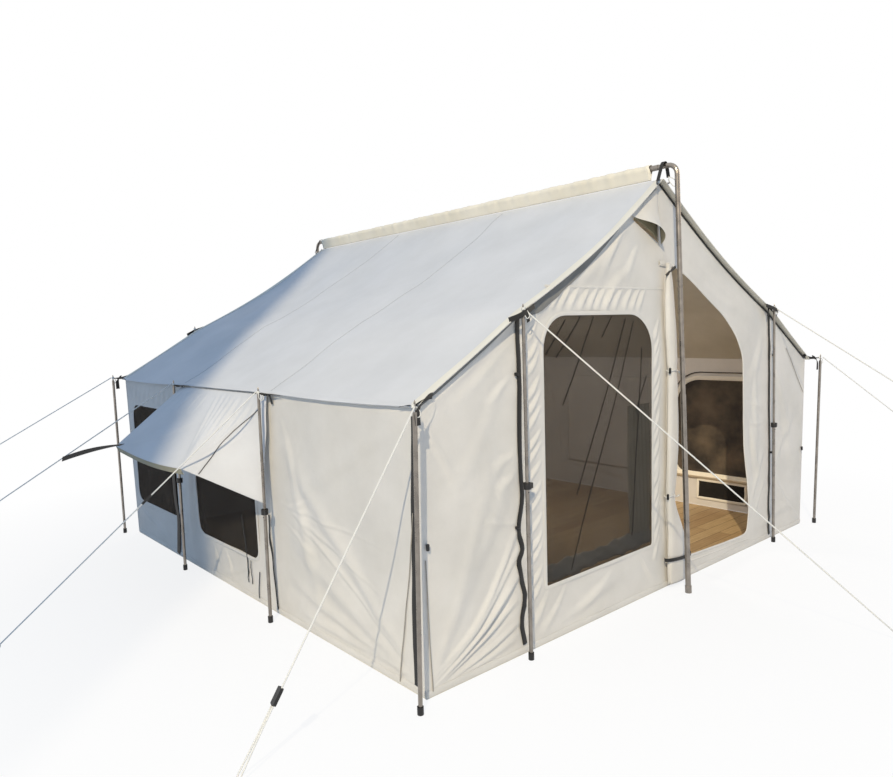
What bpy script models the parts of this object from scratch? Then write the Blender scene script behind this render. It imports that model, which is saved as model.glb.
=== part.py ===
"""Ridge wall tent with an outside steel frame, pitched and guyed out.

The origin is the middle of the floor on the ground. +X runs to the right along
the front wall, the front gable faces -Y, and +Z is up. Lengths are in metres.
"""
import math

import bmesh
import bpy
from mathutils import Matrix, Vector
from mathutils.geometry import delaunay_2d_cdt

# The tent body.
FLOOR_HALF = 1.83
FLOOR_T = 0.006
CLOTH = 0.004
NET = 0.002
GAP = 0.0003
SEAM = 0.0015
WALL_FOOT = 0.007
WALL_LEAN = 0.016
EAVE_X = 1.87
ROOF_HALF_Y = 1.88
ROOF_HALF_Y_RIDGE = 1.83
RIDGE_Z = 2.35
ROOF_FALL = 0.594
GABLE_POLE_X = 1.25
ROOF_X = (0.0, 0.25, 0.5, 0.75, 1.0, 1.25, 1.45, 1.65, 1.87)
SILL_Z = 0.135

# The frame: thin eave poles in two sections, thicker centre poles and ridge.
SIDES = 12
FRAME_X = 1.92
CORNER_Y = 1.90
CORNER_TOP_Y = 1.935
SIDE_POLE_Y = 0.61
GABLE_POLE_Y = 1.893
LOWER_R = 0.0095
LOWER_BORE = 0.0083
UPPER_R = 0.0078
UPPER_BORE = 0.0066
COLLAR_R = 0.0145
COLLAR_H = 0.028
CAP_R = 0.0125
SPIKE_R = 0.004
CENTRE_R = 0.016
CENTRE_BORE = 0.0145
ELBOW_TUBE_R = 0.014
ELBOW_TUBE_BORE = 0.0125
ELBOW_R = 0.055
CENTRE_FOOT_Y = 1.97
CENTRE_TOP_Y = 1.915
CENTRE_JOINT_Z = 1.14
RIDGE_POLE_Z = 2.42
RIDGE_POLE_HALF = 1.80

# The spring buttons that lock the sliding sections.
BUTTON_R = 0.003
BUTTON_HOLE_R = 0.0037
BUTTON_IN = 0.0078
BUTTON_OUT = 0.0112

ROPE_R = 0.0035

COLOURS = {
    "steel": ((0.42, 0.43, 0.44), 0.35, 1.0),
    "plastic": ((0.02, 0.02, 0.022), 0.5, 0.0),
    "roof_cloth": ((0.64, 0.66, 0.69), 0.85, 0.0),
    "wall_cloth": ((0.72, 0.69, 0.62), 0.9, 0.0),
    "sleeve_cloth": ((0.78, 0.72, 0.58), 0.9, 0.0),
    "net": ((0.03, 0.028, 0.026), 0.9, 0.0),
    "planks": ((0.45, 0.30, 0.17), 0.55, 0.0),
    "rope": ((0.85, 0.85, 0.83), 0.8, 0.0),
}


def clear_scene():
    for obj in list(bpy.data.objects):
        bpy.data.objects.remove(obj, do_unlink=True)


def new_material(name, look):
    colour, roughness, metallic = COLOURS[look]
    material = bpy.data.materials.new(name)
    material.use_nodes = True
    shader = material.node_tree.nodes["Principled BSDF"]
    shader.inputs["Base Color"].default_value = (*colour, 1.0)
    shader.inputs["Roughness"].default_value = roughness
    shader.inputs["Metallic"].default_value = metallic
    return material


def add_object(name, data, look, location=(0.0, 0.0, 0.0)):
    obj = bpy.data.objects.new(name, data)
    bpy.context.scene.collection.objects.link(obj)
    obj.location = location
    if look:
        data.materials.clear()
        data.materials.append(new_material(f"{name}_{look}", look))
    return obj


def mesh_from(name, points, faces, smooth=True):
    """Make a mesh from points and faces, with its faces turned to the outside."""
    bm = bmesh.new()
    verts = [bm.verts.new(p) for p in points]
    for face in faces:
        bm.faces.new([verts[i] for i in face])
    bmesh.ops.recalc_face_normals(bm, faces=bm.faces)
    mesh = bpy.data.meshes.new(name)
    bm.to_mesh(mesh)
    bm.free()
    if smooth:
        mesh.shade_smooth()
        mesh.set_sharp_from_angle(angle=math.radians(35.0))
    return mesh


def swept_mesh(name, rings, looped=False, sides=SIDES):
    """Join round sections into a body.

    Each ring is (centre, direction, radius). A radius of 0 is a point on the axis.
    A looped body goes back from its last ring to its first, as a hollow tube does.
    """
    points = []
    rows = []
    for centre, direction, radius in rings:
        centre = Vector(centre)
        if radius == 0.0:
            rows.append([len(points)])
            points.append(centre)
            continue
        across = Vector((1.0, 0.0, 0.0))
        other = Vector(direction).normalized().cross(across)
        rows.append(list(range(len(points), len(points) + sides)))
        for i in range(sides):
            a = 2.0 * math.pi * (i + 0.5) / sides
            points.append(centre + radius * (math.cos(a) * across + math.sin(a) * other))
    pairs = list(zip(rows, rows[1:]))
    if looped:
        pairs.append((rows[-1], rows[0]))
    faces = []
    for low, high in pairs:
        for i in range(sides):
            j = (i + 1) % sides
            if len(low) == 1:
                faces.append((low[0], high[i], high[j]))
            elif len(high) == 1:
                faces.append((low[i], low[j], high[0]))
            else:
                faces.append((low[i], low[j], high[j], high[i]))
    return mesh_from(name, points, faces)


def turned(name, profile, looped=False, sides=SIDES):
    """Turn a profile of (radius, height) about +Z."""
    rings = [((0.0, 0.0, z), (0.0, 0.0, 1.0), r) for r, z in profile]
    return swept_mesh(name, rings, looped, sides)


def cut_hole(obj, cutter_name, radius, start, end):
    """Cut a round hole in obj between two points given in its own frame."""
    start = Vector(start)
    end = Vector(end)
    bm = bmesh.new()
    bmesh.ops.create_cone(
        bm, cap_ends=True, segments=SIDES, radius1=radius, radius2=radius,
        depth=(end - start).length)
    mesh = bpy.data.meshes.new(cutter_name)
    bm.to_mesh(mesh)
    bm.free()
    cutter = bpy.data.objects.new(cutter_name, mesh)
    bpy.context.scene.collection.objects.link(cutter)
    cutter.rotation_mode = "QUATERNION"
    cutter.rotation_quaternion = (end - start).to_track_quat("Z", "Y")
    cutter.location = (start + end) / 2.0
    cutter.parent = obj
    cutter.hide_render = True
    cutter.display_type = "WIRE"
    modifier = obj.modifiers.new(cutter_name, "BOOLEAN")
    modifier.operation = "DIFFERENCE"
    modifier.solver = "EXACT"
    modifier.object = cutter


# The poles.

def corner_pole(name, x, side):
    """A one-piece tube with a spike on top and a drained foot cap, leaning out."""
    levels = [
        (0.0, 1.21), (LOWER_BORE, 1.21), (LOWER_BORE, 0.035), (0.002, 0.035),
        (0.002, 0.0), (CAP_R, 0.0), (CAP_R, 0.03), (LOWER_R, 0.03),
        (LOWER_R, 1.23), (SPIKE_R, 1.235), (SPIKE_R, 1.27), (0.0, 1.28)]
    rings = []
    for radius, z in levels:
        y = side * (CORNER_Y + (CORNER_TOP_Y - CORNER_Y) * z / 1.28)
        rings.append(((x, y, z), (0.0, 0.0, 1.0), radius))
    add_object(name, swept_mesh(name, rings), "steel")


def two_part_pole(name, x, y, outward, collar_z, top_z):
    """A lower tube with its collar, an upper tube that slides in it, and a button."""
    outward = Vector(outward)
    button_z = collar_z - COLLAR_H - 0.012
    lower_profile = [
        (0.0, 0.035), (LOWER_BORE, 0.035), (LOWER_BORE, collar_z), (COLLAR_R, collar_z),
        (COLLAR_R, collar_z - COLLAR_H), (LOWER_R, collar_z - COLLAR_H),
        (LOWER_R, 0.03), (CAP_R, 0.03), (CAP_R, 0.0), (0.0, 0.0)]
    lower = add_object(f"{name}_lower", turned(f"{name}_lower", lower_profile), "steel", (x, y, 0.0))
    hole_at = Vector((0.0, 0.0, button_z))
    cut_hole(lower, f"{name}_lower_hole", BUTTON_HOLE_R, hole_at, hole_at + 0.02 * outward)

    foot = button_z - 0.10
    top = top_z - collar_z
    upper_profile = [
        (0.0, top - 0.02), (UPPER_BORE, top - 0.02), (UPPER_BORE, foot - collar_z),
        (UPPER_R, foot - collar_z), (UPPER_R, top - 0.005), (SPIKE_R, top),
        (SPIKE_R, top + 0.030), (0.0, top + 0.040)]
    upper = add_object(
        f"{name}_upper", turned(f"{name}_upper", upper_profile), "steel", (x, y, collar_z))
    hole_at = Vector((0.0, 0.0, button_z - collar_z))
    cut_hole(upper, f"{name}_upper_hole", BUTTON_HOLE_R, hole_at, hole_at + 0.02 * outward)

    button_profile = [
        (0.0, 0.0), (BUTTON_R, 0.0), (BUTTON_R, BUTTON_OUT - BUTTON_IN - 0.0008),
        (BUTTON_R * 0.7, BUTTON_OUT - BUTTON_IN), (0.0, BUTTON_OUT - BUTTON_IN)]
    button = add_object(
        f"{name}_button", turned(f"{name}_button", button_profile, sides=8), "plastic",
        (x + BUTTON_IN * outward.x, y + BUTTON_IN * outward.y, button_z))
    button.rotation_mode = "QUATERNION"
    button.rotation_quaternion = outward.to_track_quat("Z", "X")


def tube_rings(path, radius):
    """Rings of one radius along a path in the plane x = 0."""
    rings = []
    for i, p in enumerate(path):
        before = Vector(path[max(i - 1, 0)])
        after = Vector(path[min(i + 1, len(path) - 1)])
        rings.append((p, after - before, radius))
    return rings


def centre_pole(name, side):
    """The leaning centre pole at the front (side -1) or the rear (side 1)."""
    foot = Vector((0.0, side * CENTRE_FOOT_Y, 0.0))
    bend_z = RIDGE_POLE_Z - ELBOW_R
    top = Vector((0.0, side * CENTRE_TOP_Y, bend_z))
    lean = (top - foot) / bend_z

    def on_leg(z):
        return foot + z * lean

    def level(z, radius):
        return (on_leg(z), (0.0, 0.0, 1.0), radius)

    outer = [level(0.0, 0.002), level(0.0, 0.019), level(0.04, 0.019), level(0.04, CENTRE_R)]
    outer += [level(CENTRE_JOINT_Z, CENTRE_R), level(CENTRE_JOINT_Z, CENTRE_BORE)]
    inner = [level(0.05, CENTRE_BORE), level(0.05, 0.002)]
    lower = swept_mesh(f"{name}_lower", outer + inner, looped=True)
    add_object(f"{name}_lower", lower, "steel")

    path = [on_leg(CENTRE_JOINT_Z - 0.12), on_leg(CENTRE_JOINT_Z + 0.3), on_leg(bend_z)]
    for step in range(1, 7):
        a = math.radians(15.0 * step)
        y = side * (CENTRE_TOP_Y - ELBOW_R * (1.0 - math.cos(a)))
        path.append(Vector((0.0, y, bend_z + ELBOW_R * math.sin(a))))
    path.append(Vector((0.0, side * (RIDGE_POLE_HALF - 0.06), RIDGE_POLE_Z)))
    rings = tube_rings(path, ELBOW_TUBE_R)
    rings += list(reversed(tube_rings(path, ELBOW_TUBE_BORE)))
    upper = swept_mesh(f"{name}_upper", rings, looped=True)
    add_object(f"{name}_upper", upper, "steel")


def ridge_pole():
    ends = (-RIDGE_POLE_HALF, RIDGE_POLE_HALF)
    rings = [((0.0, y, RIDGE_POLE_Z), (0.0, 1.0, 0.0), CENTRE_R) for y in ends]
    rings += [((0.0, y, RIDGE_POLE_Z), (0.0, 1.0, 0.0), CENTRE_BORE) for y in reversed(ends)]
    add_object("ridge_pole", swept_mesh("ridge_pole", rings, looped=True), "steel")


# The cloth.

def roof_line(x):
    """Height of the sagging roof cloth's underside above x."""
    a = abs(x)
    if a < GABLE_POLE_X:
        sag = 0.045 * math.sin(math.pi * a / GABLE_POLE_X)
    else:
        sag = 0.004 * math.sin(math.pi * (a - GABLE_POLE_X) / (EAVE_X - GABLE_POLE_X))
    return RIDGE_Z - ROOF_FALL * a - sag


def roof_under(x):
    """The same height on the straight pieces between the roof's rows."""
    a = abs(x)
    for x0, x1 in zip(ROOF_X, ROOF_X[1:]):
        if a <= x1:
            t = (a - x0) / (x1 - x0)
            return roof_line(x0) * (1.0 - t) + roof_line(x1) * t
    return roof_line(ROOF_X[-1])


def wall_x(z):
    """Half width between the leaning side walls at height z."""
    return FLOOR_HALF + WALL_LEAN * z


def gable_y(z):
    """Half length between the gable walls, which lean out to the eaves and in above."""
    above = max(0.0, (z - 1.25) / (RIDGE_Z - 1.25))
    return FLOOR_HALF + WALL_LEAN * z - 0.08 * above ** 1.3


def roof_half_y(x):
    """Half length of the roof at x: it draws in towards the ridge."""
    return ROOF_HALF_Y_RIDGE + (ROOF_HALF_Y - ROOF_HALF_Y_RIDGE) * min(1.0, x / GABLE_POLE_X)


def rounded(x0, x1, z0, z1, radii, inset=0.0, steps=4):
    """A window outline: bottom left, bottom right, top right and top left corners."""
    x0, x1, z0, z1 = x0 + inset, x1 - inset, z0 + inset, z1 - inset
    corners = ((x0, z0, 1, 1, 180), (x1, z0, -1, 1, 270), (x1, z1, -1, -1, 0), (x0, z1, 1, -1, 90))
    outline = []
    for (cx, cz, sx, sz, start), radius in zip(corners, radii):
        r = radius - inset
        for i in range(steps + 1):
            a = math.radians(start + 90.0 * i / steps)
            outline.append((cx + sx * r + r * math.cos(a), cz + sz * r + r * math.sin(a)))
    return outline


def divided(outline, step):
    """Add points so that no edge of an outline is longer than the step."""
    points = []
    for (x0, z0), (x1, z1) in zip(outline, outline[1:] + outline[:1]):
        count = max(1, math.ceil(math.hypot(x1 - x0, z1 - z0) / step))
        for i in range(count):
            t = i / count
            points.append((x0 + t * (x1 - x0), z0 + t * (z1 - z0)))
    return points


def is_inside(outline, x, z):
    inside = False
    for (x0, z0), (x1, z1) in zip(outline, outline[1:] + outline[:1]):
        if (z0 > z) != (z1 > z) and x < x0 + (z - z0) * (x1 - x0) / (z1 - z0):
            inside = not inside
    return inside


def edge_distance(outline, x, z):
    best = 1e9
    for (x0, z0), (x1, z1) in zip(outline, outline[1:] + outline[:1]):
        length2 = (x1 - x0) ** 2 + (z1 - z0) ** 2
        t = ((x - x0) * (x1 - x0) + (z - z0) * (z1 - z0)) / length2
        t = min(1.0, max(0.0, t))
        best = min(best, math.hypot(x - x0 - t * (x1 - x0), z - z0 - t * (z1 - z0)))
    return best


def relief(folds, x, z):
    """Height of the cloth's folds: ridges that run from one point to another."""
    height = 0.0
    for x0, z0, x1, z1, width, rise in folds:
        length2 = (x1 - x0) ** 2 + (z1 - z0) ** 2
        t = ((x - x0) * (x1 - x0) + (z - z0) * (z1 - z0)) / length2
        if 0.0 < t < 1.0:
            off = math.hypot(x - x0 - t * (x1 - x0), z - z0 - t * (z1 - z0))
            height += rise * math.sin(math.pi * t) * math.exp(-(off / width) ** 2)
    return height


def fold_points(folds):
    """Points along each fold's crest and along both its feet."""
    points = []
    for x0, z0, x1, z1, width, _ in folds:
        length = math.hypot(x1 - x0, z1 - z0)
        across = (-(z1 - z0) / length, (x1 - x0) / length)
        count = max(3, round(length / 0.11))
        for i in range(1, count):
            t = i / count
            for off in (-1.6 * width, 0.0, 1.6 * width):
                points.append((
                    x0 + t * (x1 - x0) + off * across[0], z0 + t * (z1 - z0) + off * across[1]))
    return points


def sheet(name, look, outline, holes, place, thickness, step, folds=()):
    """A cloth panel with holes, as two layers of triangles joined at their borders.

    place(x, z, n) gives the point at (x, z) of the flat panel, n outside it.
    """
    borders = [divided(b, step) for b in [outline] + list(holes)]
    coords = []
    edges = []
    for border in borders:
        start = len(coords)
        coords += border
        edges += [(start + i, start + (i + 1) % len(border)) for i in range(len(border))]

    def on_panel(x, z):
        return is_inside(borders[0], x, z) and not any(is_inside(b, x, z) for b in borders[1:])

    def has_room(x, z, points, apart):
        return on_panel(x, z) and min(edge_distance(b, x, z) for b in borders) > 0.35 * step \
            and all(math.hypot(x - px, z - pz) > apart for px, pz in points)

    inner = []
    for x, z in fold_points(folds):
        if has_room(x, z, inner, 0.04):
            inner.append((x, z))
    low_x = min(x for x, z in outline)
    low_z = min(z for x, z in outline)
    columns = int((max(x for x, z in outline) - low_x) / step) + 1
    rows = int((max(z for x, z in outline) - low_z) / step) + 1
    for i in range(columns):
        for j in range(rows):
            x = low_x + step * (i + 0.5 + 0.25 * (j % 2))
            z = low_z + step * (j + 0.5)
            if has_room(x, z, inner, 0.7 * step):
                inner.append((x, z))
    coords += inner

    result = delaunay_2d_cdt([Vector(c) for c in coords], edges, [], 0, 1e-6)
    flat = result[0]
    triangles = []
    for face in result[2]:
        x = sum(flat[i].x for i in face) / 3.0
        z = sum(flat[i].y for i in face) / 3.0
        if on_panel(x, z):
            triangles.append(tuple(face))

    points = []
    for side in (0.5, -0.5):
        for p in flat:
            n = relief(folds, p.x, p.y) + side * thickness
            points.append(place(p.x, p.y, n))
    count = len(flat)
    faces = list(triangles)
    faces += [tuple(i + count for i in reversed(t)) for t in triangles]
    used = {}
    for t in triangles:
        for a, b in zip(t, t[1:] + t[:1]):
            used[(a, b)] = True
    for a, b in used:
        if (b, a) not in used:
            faces.append((b, a, a + count, b + count))
    return add_object(name, mesh_from(name, points, faces), look)


def floor():
    s = FLOOR_HALF
    points = [(sx * s, sy * s, z) for z in (0.0, FLOOR_T) for sx, sy in ((-1, -1), (1, -1), (1, 1), (-1, 1))]
    faces = [(0, 3, 2, 1), (4, 5, 6, 7)] + [(i, (i + 1) % 4, (i + 1) % 4 + 4, i + 4) for i in range(4)]
    add_object("floor", mesh_from("floor", points, faces, smooth=False), "planks")


def roof(name, side):
    """One slope of the roof. Side is -1 for the left and 1 for the right."""
    rows = [GAP / 2.0] + list(ROOF_X[1:])
    columns = 10
    points = []
    for layer in (0.0, CLOTH):
        for x in rows:
            for j in range(columns + 1):
                y = roof_half_y(x) * (2.0 * j / columns - 1.0)
                points.append((side * x, y, roof_line(x) + layer))
    wide = columns + 1
    count = len(rows) * wide
    faces = []
    for i in range(len(rows) - 1):
        for j in range(columns):
            a = i * wide + j
            quad = (a, a + 1, a + wide + 1, a + wide)
            faces.append(quad)
            faces.append(tuple(k + count for k in reversed(quad)))
    border = [j for j in range(wide)]
    border += [i * wide + columns for i in range(1, len(rows))]
    border += [(len(rows) - 1) * wide + j for j in range(columns - 1, -1, -1)]
    border += [i * wide for i in range(len(rows) - 2, 0, -1)]
    for a, b in zip(border, border[1:] + border[:1]):
        faces.append((b, a, a + count, b + count))
    add_object(name, mesh_from(name, points, faces), "roof_cloth")


def ridge_sleeve():
    """The cloth sleeve that carries the ridge pole, drop shaped, above the roof."""
    sides = 14
    y_front, y_rear, lengths = -1.75, 1.80, 8
    tip_z = RIDGE_Z + CLOTH + 0.004
    points = []
    for i in range(lengths + 1):
        y = y_front + (y_rear - y_front) * i / lengths
        wave = 0.003 * math.cos(2.1 * i)
        for j in range(sides):
            a = 2.0 * math.pi * (j + 0.5) / sides
            r = 0.0245 + (wave if math.sin(a) > 0.3 else 0.0)
            x = r * math.cos(a)
            z = RIDGE_POLE_Z + r * math.sin(a)
            if math.sin(a) < -0.6:
                low = (-0.6 - math.sin(a)) / 0.4
                x *= 1.0 - 0.4 * low
                z += (tip_z - RIDGE_POLE_Z + r) * low
            points.append((x, y, z))
        for j in range(sides):
            a = 2.0 * math.pi * (j + 0.5) / sides
            points.append((0.019 * math.cos(a), y, RIDGE_POLE_Z + 0.019 * math.sin(a)))
    faces = []
    for i in range(lengths):
        for shell in (0, sides):
            for j in range(sides):
                a = 2 * sides * i + shell + j
                b = 2 * sides * i + shell + (j + 1) % sides
                faces.append((a, b, b + 2 * sides, a + 2 * sides))
    for i in (0, lengths):
        for j in range(sides):
            a = 2 * sides * i + j
            b = 2 * sides * i + (j + 1) % sides
            faces.append((a, b, b + sides, a + sides))
    add_object("ridge_sleeve", mesh_from("ridge_sleeve", points, faces), "sleeve_cloth")


def on_front(x, z, n):
    return (x, -gable_y(z) - n, z)


def on_rear(x, z, n):
    return (x, gable_y(z) + n, z)


def on_left(y, z, n):
    return (-wall_x(z) - n, y * wall_x(z) / FLOOR_HALF, z)


def on_right(y, z, n):
    return (wall_x(z) + n, y * wall_x(z) / FLOOR_HALF, z)


def gable_top(x):
    return (x, roof_under(x) - SEAM)


FRONT_WINDOW = (-1.07, -0.155, 0.285, 1.60, (0.05, 0.07, 0.16, 0.14))
REAR_WINDOW = (0.155, 1.07, 0.285, 1.60, (0.07, 0.05, 0.14, 0.16))
LEFT_MIDDLE = (-0.34, 0.54, 0.26, 1.05, (0.06, 0.10, 0.1, 0.1))
LEFT_REAR = (0.86, 1.72, 0.29, 1.05, (0.10, 0.08, 0.1, 0.1))
RIGHT_FRONT = (-1.66, -0.80, 0.28, 1.07, (0.08, 0.08, 0.2, 0.2))
RIGHT_MIDDLE = (-0.52, 0.34, 0.27, 1.04, (0.08, 0.08, 0.1, 0.1))
DOOR = [
    (0.06, SILL_Z), (0.50, 0.120), (0.93, 0.100), (0.985, 0.125), (1.01, 0.27),
    (0.98, 0.50), (0.93, 0.70), (0.90, 0.93), (0.89, 1.15), (0.885, 1.31), (0.81, 1.45),
    (0.67, 1.58), (0.44, 1.70), (0.25, 1.81), (0.14, 1.865), (0.06, 1.875)]
PEAK_VENT = [(-0.265, 2.108), (-0.035, 1.996), (-0.035, 2.27), (-0.20, 2.165)]

# Each fold: where it starts and ends on the flat panel, its width and its height.
FRONT_LEFT_FOLDS = (
    (-1.81, 0.03, -1.18, 1.12, 0.040, 0.014), (-1.80, 0.02, -1.40, 0.98, 0.035, 0.012),
    (-1.79, 0.02, -1.14, 0.52, 0.038, 0.013), (-1.22, 1.45, -1.72, 0.75, 0.035, 0.010),
    (-1.22, 1.52, -0.95, 1.72, 0.030, 0.010), (-0.35, 1.85, -0.62, 1.60, 0.030, 0.010),
    (-1.0, 0.07, -0.40, 0.20, 0.030, 0.008))
FRONT_RIGHT_FOLDS = (
    (1.22, 1.50, 1.72, 0.45, 0.038, 0.012), (1.24, 0.30, 1.70, 0.95, 0.035, 0.010),
    (1.20, 1.48, 1.00, 1.10, 0.032, 0.009), (1.10, 0.12, 1.72, 0.20, 0.030, 0.008))
LEFT_FOLDS = (
    (-1.79, 0.05, -0.68, 0.98, 0.045, 0.013), (-1.78, 0.03, -0.70, 0.50, 0.040, 0.012),
    (-1.80, 1.18, -0.70, 0.68, 0.040, 0.009), (-0.66, 1.15, -1.05, 0.08, 0.040, 0.010),
    (0.60, 1.15, 0.70, 0.08, 0.035, 0.010))
RIGHT_FOLDS = (
    (-0.62, 1.05, -0.70, 0.10, 0.035, 0.008), (0.70, 1.05, 1.70, 0.15, 0.045, 0.012),
    (1.72, 1.10, 0.80, 0.40, 0.045, 0.011))
REAR_FOLDS = (
    (1.25, 1.50, 1.72, 0.35, 0.045, 0.010), (-1.25, 1.50, -0.55, 0.30, 0.045, 0.010),
    (-1.78, 0.05, -1.20, 0.95, 0.045, 0.011), (-1.74, 0.06, -0.70, 0.35, 0.04, 0.010))


def net_panel(name, window, place, folds):
    x0, x1, z0, z1, radii = window
    sheet(name, "net", rounded(x0, x1, z0, z1, radii, GAP), [], place, NET, 0.2, folds)


def walls():
    edge = CLOTH / 2.0
    left_top = [gable_top(-x) for x in ROOF_X[-2:0:-1]]
    corner = wall_x(1.245) + edge
    outline = [(-wall_x(0.0) - edge, WALL_FOOT), (-GAP / 2.0, WALL_FOOT), gable_top(-GAP / 2.0)]
    outline += list(reversed(left_top)) + [gable_top(-corner)]
    window = rounded(*FRONT_WINDOW)
    sheet(
        "front_wall_left", "wall_cloth", outline, [window, PEAK_VENT], on_front, CLOTH, 0.13,
        FRONT_LEFT_FOLDS)

    mirrored = [(-x, z) for x, z in reversed(outline)]
    sheet("front_wall_right", "wall_cloth", mirrored, [DOOR], on_front, CLOTH, 0.13, FRONT_RIGHT_FOLDS)

    whole = outline[:1] + mirrored[-1:] + mirrored[:-3]
    whole += [gable_top(0.0)] + outline[3:]
    window = rounded(*REAR_WINDOW)
    sheet("rear_wall", "wall_cloth", whole, [window], on_rear, CLOTH, 0.24, REAR_FOLDS)

    end = FLOOR_HALF - 0.0065
    side = [(-end, WALL_FOOT), (end, WALL_FOOT), (end, 1.246), (-end, 1.246)]
    windows = [rounded(*LEFT_MIDDLE), rounded(*LEFT_REAR)]
    sheet("left_wall", "wall_cloth", side, windows, on_left, CLOTH, 0.14, LEFT_FOLDS)
    windows = [rounded(*RIGHT_FRONT), rounded(*RIGHT_MIDDLE)]
    sheet("right_wall", "wall_cloth", side, windows, on_right, CLOTH, 0.17, RIGHT_FOLDS)

    net_panel("front_window_mesh", FRONT_WINDOW, on_front, FRONT_LEFT_FOLDS)
    net_panel("rear_window_mesh", REAR_WINDOW, on_rear, REAR_FOLDS)
    net_panel("left_middle_mesh", LEFT_MIDDLE, on_left, LEFT_FOLDS)
    net_panel("left_rear_mesh", LEFT_REAR, on_left, LEFT_FOLDS)
    net_panel("right_front_mesh", RIGHT_FRONT, on_right, RIGHT_FOLDS)
    net_panel("right_middle_mesh", RIGHT_MIDDLE, on_right, RIGHT_FOLDS)


VENT_CLEAR = 0.008
VENT_A = Vector((-0.295, -gable_y(2.128) - VENT_CLEAR, 2.128))
VENT_B = Vector((-0.02, -gable_y(2.305) - VENT_CLEAR, 2.305))
VENT_C = (-0.02, 1.985)
VENT_ARCH = 0.06
VENT_BULGE = 0.085


def peak_vent_flap():
    """The hood over the slit in the peak, hinged under the roof's edge."""
    along = (VENT_B - VENT_A).normalized()
    across, down = 8, 5
    points = []
    for side in (0.0015, -0.0015):
        for i in range(across + 1):
            s = i / across
            top = VENT_A.lerp(VENT_B, s)
            low_x = VENT_A.x + (VENT_C[0] - VENT_A.x) * s
            low_z = VENT_A.z + (VENT_C[1] - VENT_A.z) * s + VENT_ARCH * math.sin(math.pi * s)
            for j in range(down + 1):
                t = j / down
                bulge = VENT_BULGE * math.sin(math.pi * s) * t ** 1.3
                x = top.x + (low_x - top.x) * t
                z = top.z + (low_z - top.z) * t
                y = -gable_y(z) - VENT_CLEAR - bulge - side
                points.append(Vector((x, y, z)) - VENT_A)
    wide = down + 1
    count = (across + 1) * wide
    faces = []
    for i in range(across):
        for j in range(down):
            a = i * wide + j
            quad = (a, a + 1, a + wide + 1, a + wide)
            faces.append(quad)
            faces.append(tuple(k + count for k in reversed(quad)))
    border = list(range(wide)) + [i * wide + down for i in range(1, across + 1)]
    border += [across * wide + j for j in range(down - 1, -1, -1)]
    border += [i * wide for i in range(across - 1, 0, -1)]
    for a, b in zip(border, border[1:] + border[:1]):
        faces.append((b, a, a + count, b + count))
    mesh = mesh_from("peak_vent_flap", points, faces)
    flap = add_object("peak_vent_flap", mesh, "wall_cloth", VENT_A)
    flap["hinge_axis"] = tuple(-along)


def rolled_door():
    """The door leaf, rolled up lengthways and hung at the centre seam.

    Each section is (height, middle x, half width, half depth).
    """
    sections = (
        (1.88, 0.005, 0.015, 0.010), (1.78, -0.002, 0.034, 0.018), (1.67, -0.010, 0.047, 0.023),
        (1.48, -0.013, 0.054, 0.026), (1.33, -0.012, 0.050, 0.025), (1.27, -0.014, 0.040, 0.021),
        (1.20, -0.012, 0.050, 0.025), (1.02, -0.008, 0.056, 0.027), (0.82, -0.008, 0.057, 0.027),
        (0.62, -0.020, 0.050, 0.025), (0.55, -0.028, 0.040, 0.021), (0.47, -0.012, 0.052, 0.025),
        (0.33, 0.030, 0.090, 0.026), (0.20, 0.062, 0.128, 0.025), (0.10, 0.070, 0.140, 0.023),
        (0.025, 0.075, 0.135, 0.018))
    sides = 16
    points = []
    for z, x, half_w, half_d in sections:
        for j in range(sides):
            a = 2.0 * math.pi * j / sides
            fold = 1.0 + 0.08 * math.cos(5.0 * a + 2.0 * z)
            y = -gable_y(z) - 0.033 + half_d * math.sin(a)
            points.append((x + half_w * fold * math.cos(a), y, z))
    rows = len(sections)
    faces = [tuple(range(sides)), tuple(range((rows - 1) * sides, rows * sides))]
    for i in range(rows - 1):
        for j in range(sides):
            a = i * sides + j
            b = i * sides + (j + 1) % sides
            faces.append((a, b, b + sides, a + sides))
    add_object("rolled_door", mesh_from("rolled_door", points, faces), "wall_cloth")


# The window awning on the left, held out by two of the ropes.
AWNING_HINGE = (Vector((-1.868, -0.60, 1.231)), Vector((-1.868, 0.60, 1.231)))
AWNING_LOW = Vector((-1.912, -0.582, 0.648))
AWNING_MID = Vector((-2.262, -0.385, 0.863))
AWNING_FAR = Vector((-2.343, 0.460, 0.909))
AWNING_MID_AT = 5.0 / 14.0
AWNING_STRAP_END = Vector((-2.549, 0.884, 0.811))
AWNING_FOLDS = (
    (0.36, 1.0, 0.02, 0.05, 0.05, 0.012), (0.36, 1.0, 0.14, 0.02, 0.05, 0.012),
    (0.36, 1.0, 0.28, 0.02, 0.05, 0.012), (1.0, 1.0, 0.72, 0.02, 0.06, 0.010))


def awning_edge(u):
    """The awning's free edge: straight where it hangs, drooping a little where it is out."""
    m = AWNING_MID_AT
    if u <= m:
        return AWNING_LOW.lerp(AWNING_MID, u / m)
    t = (u - m) / (1.0 - m)
    droop = Vector((0.0, 0.0, -0.022 * math.sin(math.pi * t)))
    return AWNING_MID.lerp(AWNING_FAR, t) + droop


def awning_point(u, v):
    top = AWNING_HINGE[0].lerp(AWNING_HINGE[1], u)
    return top.lerp(awning_edge(u), v)


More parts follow.
